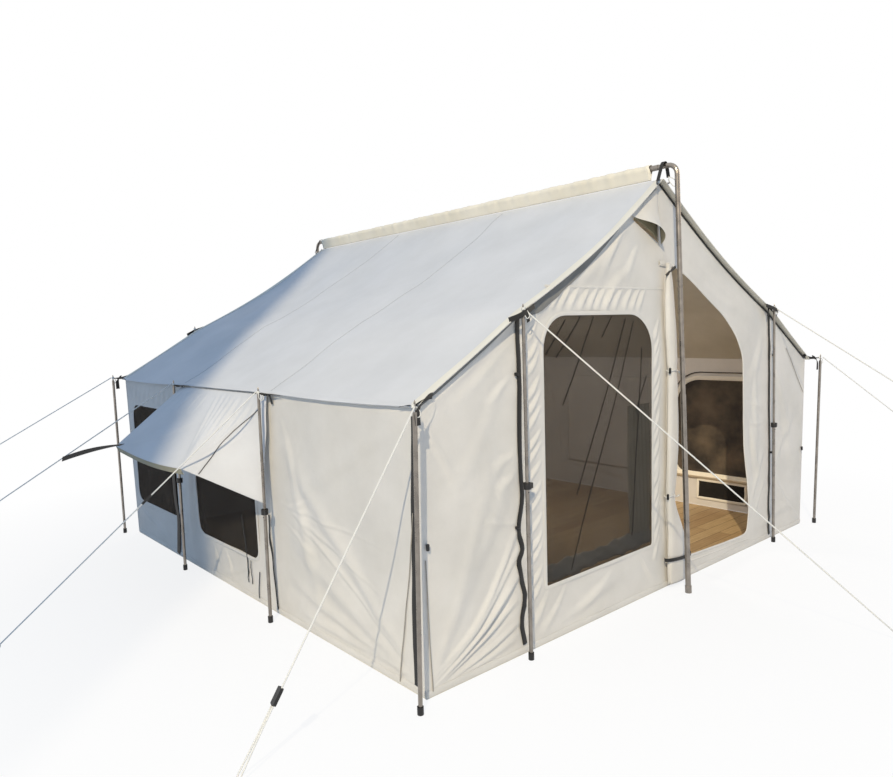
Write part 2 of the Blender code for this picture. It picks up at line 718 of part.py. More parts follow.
def awning():
    across, out = 14, 7
    thick = 0.0015
    d = 0.01
    points = []
    for side in (thick, -thick):
        for i in range(across + 1):
            for j in range(out + 1):
                u, v = i / across, j / out
                p = awning_point(u, v)
                pu = awning_point(u + d, v) - awning_point(u - d, v)
                pv = awning_point(u, v + d) - awning_point(u, v - d)
                normal = pv.cross(pu).normalized()
                if normal.x > 0.0:
                    normal = -normal
                points.append(p + normal * (side + relief(AWNING_FOLDS, u, v)))
    wide = out + 1
    count = (across + 1) * wide
    faces = []
    for i in range(across):
        for j in range(out):
            a = i * wide + j
            quad = (a, a + 1, a + wide + 1, a + wide)
            faces.append(quad)
            faces.append(tuple(k + count for k in reversed(quad)))
    border = list(range(wide)) + [i * wide + out for i in range(1, across + 1)]
    border += [across * wide + j for j in range(out - 1, -1, -1)]
    border += [i * wide for i in range(across - 1, 0, -1)]
    for a, b in zip(border, border[1:] + border[:1]):
        faces.append((b, a, a + count, b + count))
    obj = add_object("awning", mesh_from("awning", points, faces), "roof_cloth")

    inner = awning_point(0.965, 0.955)
    along = (AWNING_STRAP_END - inner).normalized()
    wide_way = along.cross(Vector((0.0, 0.0, 1.0))).normalized() * 0.0125
    thick_way = along.cross(wide_way).normalized() * 0.0028
    corners = []
    for end in (inner, AWNING_STRAP_END):
        for a, b in ((-1, -1), (1, -1), (1, 1), (-1, 1)):
            corners.append(end + a * wide_way + b * thick_way)
    quads = [(0, 1, 2, 3), (4, 5, 6, 7)] + [(i, (i + 1) % 4, (i + 1) % 4 + 4, i + 4) for i in range(4)]
    strap = add_object("awning_strap_shape", mesh_from("awning_strap_shape", corners, quads, False), None)
    strap.hide_render = True
    strap.display_type = "WIRE"
    union = obj.modifiers.new("strap", "BOOLEAN")
    union.operation = "UNION"
    union.solver = "EXACT"
    union.object = strap


# The guy ropes: where each starts at its pole, and where it heads for.
ROPES = {
    "rope_left_rear_corner": ((-1.93, 1.948, 1.255), (-3.76, 3.24, 0.0), 0.415),
    "rope_left_side_rear": ((-1.93, 0.61, 1.255), (-3.68, 1.44, 0.0), 0.56),
    "rope_left_side_front": ((-1.93, -0.61, 1.255), (-3.09, 0.10, 0.0), 0.990),
    "rope_left_front_corner": ((-1.93, -1.948, 1.255), (-2.66, -1.80, 0.0), 0.982),
    "rope_front_left": ((-1.24, -1.895, 1.622), (0.13, -3.02, 0.0), 0.990),
    "rope_front_right": ((1.26, -1.895, 1.622), (1.678, -4.15, 0.0), 0.315),
    "rope_right_front_corner": ((1.93, -1.948, 1.255), (2.944, -3.053, 0.0), 0.36),
}
RETURN_OFFSET = 0.013
LOOP_R = 0.014
LINK_LENGTH = 0.066
LINK_HALF_WIDTH = 0.0145
LINK_HALF_THICK = 0.0065
DOUBLED_LINK_AT = 0.786
SINGLE_LINK_AT = 0.426


def rope_point(name, m):
    start, ground, _ = ROPES[name]
    return Vector(start).lerp(Vector(ground), m)


def rope_side(name):
    """The level direction square to a rope."""
    start, ground, _ = ROPES[name]
    along = Vector(ground) - Vector(start)
    return along.cross(Vector((0.0, 0.0, 1.0))).normalized()


def rope_curve(name, points):
    curve = bpy.data.curves.new(name, "CURVE")
    curve.dimensions = "3D"
    curve.bevel_depth = ROPE_R
    curve.bevel_resolution = 2
    curve.use_fill_caps = True
    spline = curve.splines.new("POLY")
    spline.points.add(len(points) - 1)
    for point, co in zip(spline.points, points):
        point.co = (*co, 1.0)
    add_object(name, curve, "rope")


def guy_ropes():
    for name, (start, ground, last) in ROPES.items():
        count = 10
        points = [rope_point(name, last * i / count) for i in range(count + 1)]
        if name == "rope_left_front_corner":
            points = points[:-1] + doubled_end(name, last, last * (count - 1) / count)
        rope_curve(name, points)


def doubled_end(name, last, turn_from):
    """The loop near the ground and the line back up to the link's lower end."""
    start, ground, _ = ROPES[name]
    length = (Vector(ground) - Vector(start)).length
    along = (Vector(ground) - Vector(start)).normalized()
    side = rope_side(name)
    middle = rope_point(name, last) + side * RETURN_OFFSET / 2.0
    points = []
    for i in range(9):
        a = math.pi * i / 8.0
        points.append(middle + LOOP_R * (along * math.sin(a) - side * math.cos(a)))
    up = DOUBLED_LINK_AT + (LINK_LENGTH / 2.0 + 0.004) / length
    for i in range(4):
        m = turn_from + (up - turn_from) * i / 3.0
        points.append(rope_point(name, m) + side * RETURN_OFFSET)
    return points


def rope_link(name, rope, at, bores):
    """A slide link on a rope, with one bore for each line that runs in it."""
    start, ground, _ = ROPES[rope]
    along = (Vector(start) - Vector(ground)).normalized()
    side = rope_side(rope)
    bm = bmesh.new()
    bmesh.ops.create_cube(bm, size=1.0)
    mid_x = sum(bores) / len(bores)
    for v in bm.verts:
        v.co.x = v.co.x * 2.0 * (LINK_HALF_WIDTH if len(bores) > 1 else 0.009) + mid_x
        v.co.y = v.co.y * 2.0 * LINK_HALF_THICK
        v.co.z = v.co.z * LINK_LENGTH
    upright = [e for e in bm.edges if abs(e.verts[0].co.z - e.verts[1].co.z) < 1e-6]
    long_way = [e for e in upright if abs(e.verts[0].co.x - e.verts[1].co.x) < 1e-6]
    bmesh.ops.bevel(bm, geom=long_way, offset=0.005, segments=2, profile=0.5, affect="EDGES")
    mesh = bpy.data.meshes.new(name)
    bm.to_mesh(mesh)
    bm.free()
    obj = add_object(name, mesh, "plastic", rope_point(rope, at))
    third = along.cross(side)
    obj.rotation_mode = "QUATERNION"
    frame = (side, third, along)
    obj.rotation_quaternion = Matrix(frame).transposed().to_quaternion()
    for i, x in enumerate(bores):
        cut_hole(obj, f"{name}_bore_{i}", 0.0043, (x, 0.0, -0.05), (x, 0.0, 0.05))


def build():
    clear_scene()
    for name, x, y in (
            ("corner_pole_front_left", -1, -1), ("corner_pole_front_right", 1, -1),
            ("corner_pole_rear_left", -1, 1), ("corner_pole_rear_right", 1, 1)):
        corner_pole(name, x * FRAME_X, y)
    for side, x in (("left", -1), ("right", 1)):
        for place, y in (("front", -1), ("rear", 1)):
            two_part_pole(
                f"{side}_side_{place}", x * FRAME_X, y * SIDE_POLE_Y, (x, 0.0, 0.0), 0.62, 1.24)
            two_part_pole(
                f"gable_{place}_{side}", x * GABLE_POLE_X, y * GABLE_POLE_Y, (0.0, y, 0.0),
                0.833, 1.612)
    centre_pole("front_centre", -1)
    centre_pole("rear_centre", 1)
    ridge_pole()
    floor()
    roof("roof_left", -1)
    roof("roof_right", 1)
    ridge_sleeve()
    walls()
    peak_vent_flap()
    rolled_door()
    awning()
    guy_ropes()
    rope_link("rope_link_front", "rope_left_front_corner", DOUBLED_LINK_AT, (0.0, RETURN_OFFSET))
    rope_link("rope_link_side", "rope_left_side_front", SINGLE_LINK_AT, (0.0,))


build()
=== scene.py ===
# %% [markdown]
# # A ridge wall tent, pitched and guyed out
#
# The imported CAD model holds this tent's poles, canvas panels, ropes and joints as plain
# solids. This notebook dresses it for a picture: thin sewn canvas takes the place of the
# thick panels, and the webbing, cords, bindings, zips and toggles are added. Lengths are
# in metres, X runs along the front wall, the front gable faces -Y and Z is up.

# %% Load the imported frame
import math

import bpy
import numpy as np
from mathutils import Matrix, Vector


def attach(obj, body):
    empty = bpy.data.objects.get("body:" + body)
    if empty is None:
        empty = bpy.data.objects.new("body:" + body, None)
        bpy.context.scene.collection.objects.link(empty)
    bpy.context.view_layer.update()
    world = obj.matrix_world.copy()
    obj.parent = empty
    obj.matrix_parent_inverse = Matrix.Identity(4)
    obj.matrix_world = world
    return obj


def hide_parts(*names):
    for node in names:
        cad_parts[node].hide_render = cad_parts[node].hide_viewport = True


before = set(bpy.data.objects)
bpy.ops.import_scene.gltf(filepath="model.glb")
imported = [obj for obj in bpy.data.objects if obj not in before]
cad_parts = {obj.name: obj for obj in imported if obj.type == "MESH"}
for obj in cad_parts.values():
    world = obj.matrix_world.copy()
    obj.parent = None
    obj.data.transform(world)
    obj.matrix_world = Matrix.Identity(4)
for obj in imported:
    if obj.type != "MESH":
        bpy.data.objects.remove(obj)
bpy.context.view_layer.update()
bpy.ops.object.select_all(action="DESELECT")
scene = bpy.context.scene

# %% [markdown]
# ## The camera
#
# A camera is a place, a direction and a lens. These come from the picture's straight
# edges: a ground square and twelve poles whose places are known give the eye's place, and
# the horizon leans about two degrees, so the camera is rolled by that much.

# %% Place the camera
EYE = Vector((-3.598, -4.061, 1.538))
AZIMUTH, ELEVATION, ROLL = -40.92, 4.635, -1.885
SENSOR_MM, LENS_MM = 36.0, 28.44
NEAREST, FARTHEST = 0.05, 200.0


def camera_turn(azimuth, elevation, roll):
    """The camera's turn as a matrix whose columns are its right, up and back."""
    a, e, r = (math.radians(v) for v in (azimuth, elevation, roll))
    back = Vector((math.sin(a) * math.cos(e), -math.cos(a) * math.cos(e), math.sin(e)))
    level = Vector((math.cos(a), math.sin(a), 0.0))
    upright = back.cross(level)
    right = math.cos(r) * level + math.sin(r) * upright
    up = -math.sin(r) * level + math.cos(r) * upright
    return Matrix((right, up, back)).transposed()


bpy.ops.object.camera_add(location=EYE)
camera = bpy.context.object
camera.name = "photo_camera"
camera.rotation_mode = "QUATERNION"
camera.rotation_quaternion = camera_turn(AZIMUTH, ELEVATION, ROLL).to_quaternion()
camera.data.sensor_width, camera.data.lens = SENSOR_MM, LENS_MM
camera.data.clip_start, camera.data.clip_end = NEAREST, FARTHEST
scene.camera = camera
print("lens:", camera.data.lens, "mm")

# %% [markdown]
# ## The tent's own shape
#
# Most pieces lie on the same few surfaces: walls that lean out a little, gables that lean
# back in towards the peak, and two roof slopes that sag between ridge and gable poles.
# Writing each surface once as a small function keeps canvas, seams and straps together.

# %% Walls and roof as functions
WALL_HALF = 1.83
WALL_LEAN = 0.016
PEAK_SETBACK = 0.08
EAVE_X, EAVE_Z = 1.87, 1.25
RIDGE_Z = 2.35
RIDGE_POLE_Z = 2.42
ROOF_FALL = 0.594
ROOF_HALF_Y = 1.88
GABLE_OVERHANG = 0.05
GABLE_POLE_X = 1.25
SIDE_POLE_Y = 0.61
UPPER_SAG, LOWER_SAG = 0.045, 0.004
SIDES = (("left", -1.0), ("right", 1.0))
ENDS = (("front", -1.0), ("rear", 1.0))


def side_wall_x(z):
    return WALL_HALF + WALL_LEAN * z


def gable_wall_y(z):
    above = np.maximum(0.0, (z - EAVE_Z) / (RIDGE_Z - EAVE_Z))
    return WALL_HALF + WALL_LEAN * z - PEAK_SETBACK * above ** 1.3


def roof_z(x):
    """The roof's height: it sags from the ridge to a gable pole, and from there to the eave."""
    a = np.abs(x)
    upper = UPPER_SAG * np.sin(np.pi * a / GABLE_POLE_X)
    lower = LOWER_SAG * np.sin(np.pi * (a - GABLE_POLE_X) / (EAVE_X - GABLE_POLE_X))
    return RIDGE_Z - ROOF_FALL * a - np.where(a < GABLE_POLE_X, upper, lower)


def roof_half_y(x):
    return WALL_HALF + GABLE_OVERHANG * np.minimum(1.0, np.abs(x) / GABLE_POLE_X)


print("eave height:", round(float(roof_z(EAVE_X)), 3))

# %% [markdown]
# ## Shaping a grid
#
# Cloth, tape and cord all start from the grid primitive. Its points are read as two
# numbers from 0 to 1, across and along, and then moved to where the piece lies. The
# grid's own UV map is rewritten in metres, so that weave and braid follow the cloth.

# %% Grids and their points
CLOTH = 0.0014
MERGE_DISTANCE = 1e-6
CLOTH_EDGE_ANGLE = math.radians(50.0)


def points_of(piece):
    flat = np.empty(len(piece.data.vertices) * 3)
    piece.data.vertices.foreach_get("co", flat)
    return flat.reshape(-1, 3)


def move_points(piece, x, y, z):
    rows = np.stack(np.broadcast_arrays(x, y, z), axis=1)
    piece.data.vertices.foreach_set("co", rows.ravel())
    piece.data.update()


def grid_piece(name, columns, rows):
    """A unit grid, and each point's place across it and up it."""
    bpy.ops.mesh.primitive_grid_add(x_subdivisions=columns, y_subdivisions=rows, size=1.0)
    piece = bpy.context.object
    piece.name = piece.data.name = name
    flat = points_of(piece)
    return piece, flat[:, 0] + 0.5, flat[:, 1] + 0.5


def write_uv(piece, u, v):
    """Give each face corner the u and v, in metres, of its point."""
    mesh = piece.data
    corners = np.empty(len(mesh.loops), dtype=np.int32)
    mesh.loops.foreach_get("vertex_index", corners)
    pairs = np.stack((u[corners], v[corners]), axis=1)
    mesh.uv_layers[0].uv.foreach_set("vector", pairs.ravel().astype(np.float32))


def apply_modifier(piece, kind, name, **settings):
    """Add a modifier, set it and apply it, with only this piece active."""
    bpy.ops.object.select_all(action="DESELECT")
    piece.select_set(True)
    bpy.context.view_layer.objects.active = piece
    modifier = piece.modifiers.new(name, kind)
    for key, value in settings.items():
        setattr(modifier, key, value)
    bpy.ops.object.modifier_apply(modifier=name)


def thicken(piece, thickness=CLOTH, sharp=True, offset=0.0, **settings):
    """Give cloth or tape its thickness and smooth it; sharp keeps its cut edges crisp."""
    apply_modifier(
        piece, "SOLIDIFY", "thickness", thickness=thickness, offset=offset, **settings)
    piece.data.shade_smooth()
    if sharp:
        piece.data.set_sharp_from_angle(angle=CLOTH_EDGE_ANGLE)


def close_seam(turn_outward=False):
    """Merge the edges of the active piece where it meets itself."""
    bpy.ops.object.mode_set(mode="EDIT")
    bpy.ops.mesh.select_all(action="SELECT")
    bpy.ops.mesh.remove_doubles(threshold=MERGE_DISTANCE)
    if turn_outward:
        bpy.ops.mesh.normals_make_consistent(inside=False)
    bpy.ops.object.mode_set(mode="OBJECT")


print("grid helpers ready")

# %% [markdown]
# ## Materials from small helpers
#
# Every finish is a node material that starts from a real stuff. One function turns the
# sRGB colours that people read off a picture to the linear ones that the renderer adds
# up, and one function adds any node with its settings, its links and a ramp's colours.
# What shows on the real surface, such as threads, blotches or scuffs, is a pattern: a
# number from 0 to 1 at each place in metres, on cloth and cord by the piece's UV map.

# %% Colours and nodes
BAND_SPACING = 0.31416  # A wave texture's bands are this far apart at scale 1.


def linear(hex_colour):
    """An sRGB hex colour as linear red, green, blue and alpha."""
    values = [int(hex_colour[i:i + 2], 16) / 255.0 for i in (1, 3, 5)]
    bent = [v / 12.92 if v <= 0.04045 else ((v + 0.055) / 1.055) ** 2.4 for v in values]
    return (*bent, 1.0)


def add_node(material, kind, settings=None, inputs=None, stops=()):
    """Add a node. An input is given a plain value, or another node's output to link."""
    node = material.node_tree.nodes.new(kind)
    for key, value in (settings or {}).items():
        setattr(node, key, value)
    for key, value in (inputs or {}).items():
        if isinstance(value, bpy.types.NodeSocket):
            material.node_tree.links.new(value, node.inputs[key])
        else:
            node.inputs[key].default_value = value
    for i, (position, hex_colour) in enumerate(stops):
        node.color_ramp.elements[i].position = position
        node.color_ramp.elements[i].color = linear(hex_colour)
    return node


def new_finish(name, hex_colour, roughness, metallic=0.0):
    material = bpy.data.materials.new(name)
    material.use_nodes = True
    shader = material.node_tree.nodes["Principled BSDF"]
    shader.inputs["Base Color"].default_value = linear(hex_colour)
    shader.inputs["Roughness"].default_value = roughness
    shader.inputs["Metallic"].default_value = metallic
    return material, shader


def connect(material, shader, patterns):
    """Link each pattern to the shader's socket that it is listed with."""
    for socket, pattern in patterns.items():
        material.node_tree.links.new(pattern, shader.inputs[socket])
    return material


print("linear mid grey:", round(linear("#808080")[0], 3))

# %% [markdown]
# ## Handing a piece over
#
# Each piece gets one finish. It rides on one of the model's bodies, so that it moves as
# that body does. Nearly all ride on the tent itself.

# %% Finish a piece
def finish_piece(piece, finish, body="tent"):
    """Give a piece its finish and the body that it rides on."""
    piece.data.materials.clear()
    piece.data.materials.append(finish)
    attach(piece, body)
    return piece


# %% [markdown]
# ## White braided cord
#
# The guy ropes are 7 mm braided polypropylene. Its plaits are a few millimetres long, so
# a braid is drawn by two sets of slanting bands that cross, and the low places between
# them are darker grey.

# %% The cord finish
def braided_finish(name, low_hex, high_hex, plait):
    material, shader = new_finish(name, high_hex, 0.75)
    place = add_node(material, "ShaderNodeUVMap", {"uv_map": "UVMap"}).outputs["UV"]
    bands = []
    for slant in (0.6, -0.6):
        turned = add_node(
            material, "ShaderNodeMapping", None, {"Vector": place, "Rotation": (0.0, 0.0, slant)})
        bands.append(add_node(
            material, "ShaderNodeTexWave", {"bands_direction": "X"},
            {"Vector": turned.outputs["Vector"], "Scale": BAND_SPACING / plait}).outputs["Fac"])
    braid = add_node(
        material, "ShaderNodeMath", {"operation": "MAXIMUM"},
        {0: bands[0], 1: bands[1]}).outputs["Value"]
    tone = add_node(
        material, "ShaderNodeValToRGB", None, {"Fac": braid}, [(0.2, low_hex), (0.8, high_hex)])
    bump = add_node(
        material, "ShaderNodeBump", None, {"Height": braid, "Strength": 0.6, "Distance": 0.0012})
    return connect(material, shader, {
        "Base Color": tone.outputs["Color"], "Normal": bump.outputs["Normal"]})


rope_finish = braided_finish("white_braided_polypropylene", "#B9B8B2", "#EFEFEC", 0.005)
tie_finish = braided_finish("grey_braided_tie_cord", "#6A6660", "#A8A298", 0.003)
# A dark strand that is painted shadow: the guy rope's shadow across the awning.
rope_shadow_finish = braided_finish("painted_rope_shadow", "#2A2520", "#4A433B", 0.003)
print("cords:", rope_finish.name, tie_finish.name, rope_shadow_finish.name)

# %% [markdown]
# ## The guy ropes
#
# A rope under load is straight, so each is a thin tube along a line from its pole's spike
# to just outside the picture. A tube is a grid that is wrapped round: one side of the
# grid meets the other, the doubles are merged and the ends are filled.

# %% A tube along a path
def run_along(path):
    """How far along a path each of its points lies."""
    run = [0.0]
    for p, q in zip(path, path[1:]):
        run.append(run[-1] + (q - p).length)
    return np.array(run)


def tube(name, path, radius, sides=8):
    """Wrap a grid round a path. The radius is one number, or one for each point."""
    path = [Vector(p) for p in path]
    piece, a, b = grid_piece(name, len(path) - 1, sides)
    step = np.rint(a * (len(path) - 1)).astype(int)
    frames = []
    side = None
    for i in range(len(path)):
        ahead = path[min(i + 1, len(path) - 1)] - path[max(i - 1, 0)]
        ahead.normalize()
        if side is None:
            side = ahead.orthogonal().normalized()
        side = (side - ahead * side.dot(ahead)).normalized()
        frames.append((path[i], side.copy(), ahead.cross(side)))
    centre, first, second = (np.array(rows)[step] for rows in zip(*frames))
    r = np.broadcast_to(np.asarray(radius, dtype=float), (len(path),))[step]
    turn = 2.0 * np.pi * b
    rows = centre + (r * np.cos(turn))[:, None] * first + (r * np.sin(turn))[:, None] * second
    write_uv(piece, run_along(path)[step], b * 2.0 * np.pi * float(np.max(radius)))
    move_points(piece, *rows.T)
    bpy.ops.object.mode_set(mode="EDIT")
    bpy.ops.mesh.select_all(action="SELECT")
    bpy.ops.mesh.remove_doubles(threshold=MERGE_DISTANCE)
    bpy.ops.mesh.select_all(action="DESELECT")
    bpy.ops.mesh.select_non_manifold(use_wire=False, use_multi_face=False, use_verts=False)
    bpy.ops.mesh.fill_holes(sides=0)
    bpy.ops.mesh.select_all(action="SELECT")
    bpy.ops.mesh.normals_make_consistent(inside=False)
    bpy.ops.mesh.faces_shade_smooth()
    bpy.ops.object.mode_set(mode="OBJECT")
    return piece


print("tube helper ready")

# %% Where the ropes run
# Each rope is its top at the spike, its place on the ground, and how far along that line
# it is made.
ROPES = {
    "rope_left_rear_corner": ((-1.93, 1.948, 1.255), (-3.76, 3.24, 0.0), 0.415),
    "rope_left_side_rear": ((-1.93, 0.61, 1.255), (-3.68, 1.44, 0.0), 0.56),
    "rope_left_side_front": ((-1.93, -0.61, 1.255), (-3.09, 0.10, 0.0), 0.990),
    "rope_left_front_corner": ((-1.93, -1.948, 1.255), (-2.66, -1.80, 0.0), 0.982),
    "rope_front_left": ((-1.24, -1.895, 1.622), (0.13, -3.02, 0.0), 0.990),
    "rope_front_right": ((1.26, -1.895, 1.622), (1.678, -4.15, 0.0), 0.315),
    "rope_right_front_corner": ((1.93, -1.948, 1.255), (2.944, -3.053, 0.0), 0.36),
}
ROPE_R = 0.0035
ROPE_STEPS = 20


def rope_point(name, m):
    start, ground, _ = ROPES[name]
    return Vector(start).lerp(Vector(ground), m)


print("ropes:", len(ROPES))

# %% [markdown]
# ## Knots, and the rope that turns back
#
# Most ropes end in a stopper knot, which is cord wound two and a half times round them.
# The rope at the front left corner runs through its link, round the peg and back up to
# the link, so its path turns in half a circle and doubles back.

# %% Make the ropes
HITCH_R, HITCH_TURNS, HITCH_CORD_R = 0.0085, 2.5, 0.0032
# Places along the rope that turns back are parts of its whole line.
LOOP_R = 0.014
RETURN_OFFSET = 0.013
TURN_FROM = 0.9
LINK_AT = 0.786
LINK_LENGTH = 0.066


def hitch(name, at, along):
    """Cord wound round a rope, as a stopper knot is."""
    along = Vector(along).normalized()
    side = along.orthogonal().normalized()
    other = along.cross(side)
    path = []
    count = int(HITCH_TURNS * 12)
    for i in range(count + 1):
        turn = 2.0 * math.pi * i / 12.0
        swell = HITCH_R * (0.75 + 0.35 * math.sin(math.pi * i / count))
        offset = along * (0.007 * i / 12.0 - 0.0035 * HITCH_TURNS)
        round_rope = swell * (math.cos(turn) * side + math.sin(turn) * other)
        path.append(Vector(at) + offset + round_rope)
    return finish_piece(tube(name, path, HITCH_CORD_R, 6), rope_finish)


for name, (start, ground, last) in ROPES.items():
    along = (Vector(ground) - Vector(start)).normalized()
    path = [rope_point(name, last * i / ROPE_STEPS) for i in range(ROPE_STEPS + 1)]
    if name == "rope_left_front_corner":
        # This rope runs through its link, round the peg's loop and back to the link.
        length = (Vector(ground) - Vector(start)).length
        side = along.cross(Vector((0.0, 0.0, 1.0))).normalized()
        middle = rope_point(name, last) + side * RETURN_OFFSET / 2.0
        path = [rope_point(name, last * TURN_FROM * i / 18.0) for i in range(19)]
        for i in range(17):
            turn = math.pi * i / 16.0
            path.append(middle + LOOP_R * (along * math.sin(turn) - side * math.cos(turn)))
        up = LINK_AT + (LINK_LENGTH / 2.0 + 0.004) / length
        for i in range(5):
            m = last * TURN_FROM + (up - last * TURN_FROM) * i / 4.0
            path.append(rope_point(name, m) + side * RETURN_OFFSET)
        partners, far_end = ["rope_link_front"], "fitting"
    else:
        partners, far_end = [hitch(f"{name}_end_knot", path[-1] - along * 0.004, along)], "knot"
    if name == "rope_left_side_front":
        partners.append("rope_link_side")
    rope = finish_piece(tube(f"{name}_cord", path, ROPE_R), rope_finish)
    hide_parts(name)

# %% [markdown]
# ## Canvas
#
# Proofed cotton duck is a plain weave. Real threads here are about 0.7 mm apart, far
# finer than a pixel of this picture, so they are drawn 2.5 mm apart and low. Broad soft
# blotches keep the cloth from looking like plastic, and slubs and small creases break up
# the light. The same function makes the cool roof, the warm walls and the cream trim.

# %% The canvas finish
THREAD_SPACING = 0.0025


def canvas_finish(name, low_hex, high_hex, crease):
    """Cotton canvas; crease is how strongly its small creases catch the light."""
    material, shader = new_finish(name, high_hex, 0.88)
    shader.inputs["Sheen Weight"].default_value = 0.15
    shader.inputs["Specular IOR Level"].default_value = 0.25
    place = add_node(material, "ShaderNodeUVMap", {"uv_map": "UVMap"}).outputs["UV"]
    warp, weft = (
        add_node(
            material, "ShaderNodeTexWave", {"bands_direction": axis},
            {"Vector": place, "Scale": BAND_SPACING / THREAD_SPACING}) for axis in "XY")
    weave = add_node(
        material, "ShaderNodeMath", {"operation": "MULTIPLY"},
        {0: warp.outputs["Fac"], 1: weft.outputs["Fac"]})
    blotches = add_node(
        material, "ShaderNodeTexNoise", None,
        {"Vector": place, "Scale": 2.6, "Detail": 6.0, "Roughness": 0.62})
    slubs = add_node(
        material, "ShaderNodeTexNoise", None, {"Vector": place, "Scale": 60.0, "Detail": 3.0})
    slanted = add_node(
        material, "ShaderNodeMapping", None,
        {"Vector": place, "Rotation": (0.0, 0.0, 0.9), "Scale": (1.0, 3.2, 1.0)})
    creases = add_node(
        material, "ShaderNodeTexNoise", {"noise_type": "RIDGED_MULTIFRACTAL"},
        {"Vector": slanted.outputs["Vector"], "Scale": 3.4, "Detail": 4.0})
    tone = add_node(
        material, "ShaderNodeValToRGB", None, {"Fac": blotches.outputs["Fac"]},
        [(0.28, low_hex), (0.66, high_hex)])
    under = {}
    for height, strength, distance in (
            (weave.outputs["Value"], 0.25, 0.0004), (slubs.outputs["Fac"], 0.12, 0.002),
            (creases.outputs["Fac"], crease, 0.008)):
        bump = add_node(
            material, "ShaderNodeBump", None,
            {"Height": height, "Strength": strength, "Distance": distance, **under})
        under = {"Normal": bump.outputs["Normal"]}
    return connect(material, shader, {"Base Color": tone.outputs["Color"], **under})


roof_finish = canvas_finish("cool_grey_proofed_cotton_duck", "#CFD0D2", "#D9DADD", 0.10)
wall_finish = canvas_finish("warm_offwhite_cotton_duck", "#CFCCC6", "#DCD9D4", 0.22)
trim_finish = canvas_finish("cream_cotton_binding", "#DEDACE", "#ECE8DC", 0.12)
sleeve_finish = canvas_finish("cream_canvas_sleeve", "#E4DCC8", "#F3ECDC", 0.4)
# A grey of painted shadow, for the band of wall that the roof's overhang shades.
eave_shadow_finish = canvas_finish("painted_eave_shadow_grey", "#6E6F6F", "#868786", 0.1)
# The seams' darker grey is painted shade along the lap.
shaded_seam_finish = canvas_finish("shaded_lapped_seam", "#B4B6B9", "#C0C2C5", 0.1)
# A warm beige that is painted light: the glow of sun coming through the cloth, seen from below.
underside_glow_finish = canvas_finish("roof_underside_painted_glow", "#C6C2B3", "#D6D2C5", 0.2)
print("canvas threads:", THREAD_SPACING, "m apart")

# %% [markdown]
# ## Insect mesh
#
# The windows are black knitted mesh. Threads cover most of it, so it looks nearly black
# from outside and lets a little of the room through. Real holes are about 1.5 mm wide;
# here the pattern is 3 mm, and it changes how much of the light the mesh stops.

# %% The mesh finish
NET_SPACING = 0.003


def net_finish_of(name, low_hex, high_hex, thin, thick):
    """Mesh that stops a part of the light: thin in its holes and thick at its threads."""
    material, shader = new_finish(name, high_hex, 0.9)
    place = add_node(material, "ShaderNodeUVMap", {"uv_map": "UVMap"}).outputs["UV"]
    across, along = (
        add_node(
            material, "ShaderNodeTexWave", {"bands_direction": axis},
            {"Vector": place, "Scale": BAND_SPACING / NET_SPACING}) for axis in "XY")
    threads = add_node(
        material, "ShaderNodeMath", {"operation": "MAXIMUM"},
        {0: across.outputs["Fac"], 1: along.outputs["Fac"]})
    stopped = add_node(
        material, "ShaderNodeMapRange", None,
        {"Value": threads.outputs["Value"], "To Min": thin, "To Max": thick})
    dust = add_node(
        material, "ShaderNodeTexNoise", None, {"Vector": place, "Scale": 4.0, "Detail": 5.0})
    tone = add_node(
        material, "ShaderNodeValToRGB", None, {"Fac": dust.outputs["Fac"]},
        [(0.35, low_hex), (0.7, high_hex)])
    return connect(material, shader, {
        "Base Color": tone.outputs["Color"], "Alpha": stopped.outputs["Result"]})


net_finish = net_finish_of("black_knitted_insect_mesh", "#171513", "#25221F", 0.62, 0.86)
open_net = net_finish_of("open_knitted_insect_mesh", "#25221F", "#3A352F", 0.40, 0.62)
doubled_net = net_finish_of("doubled_insect_mesh", "#12100F", "#1E1B19", 0.80, 0.95)
# Seen from inside against the pale floor, this mesh lies over its dark rolled cover.
backed_net = net_finish_of("mesh_over_dark_cover", "#2A241E", "#6A5D4C", 0.88, 0.96)
print("mesh threads:", NET_SPACING, "m apart")

# %% [markdown]
# ## Folds
#
# Canvas that hangs between poles shows a few long folds that fan out from the points
# that hold it, and short pleats where a seam gathers it. Each wall has its own list. The
# front wall's is read off the picture: long folds rise from the foot of the corner and
# fall from the gable pole's top, and rows of short pleats stand beside the window.

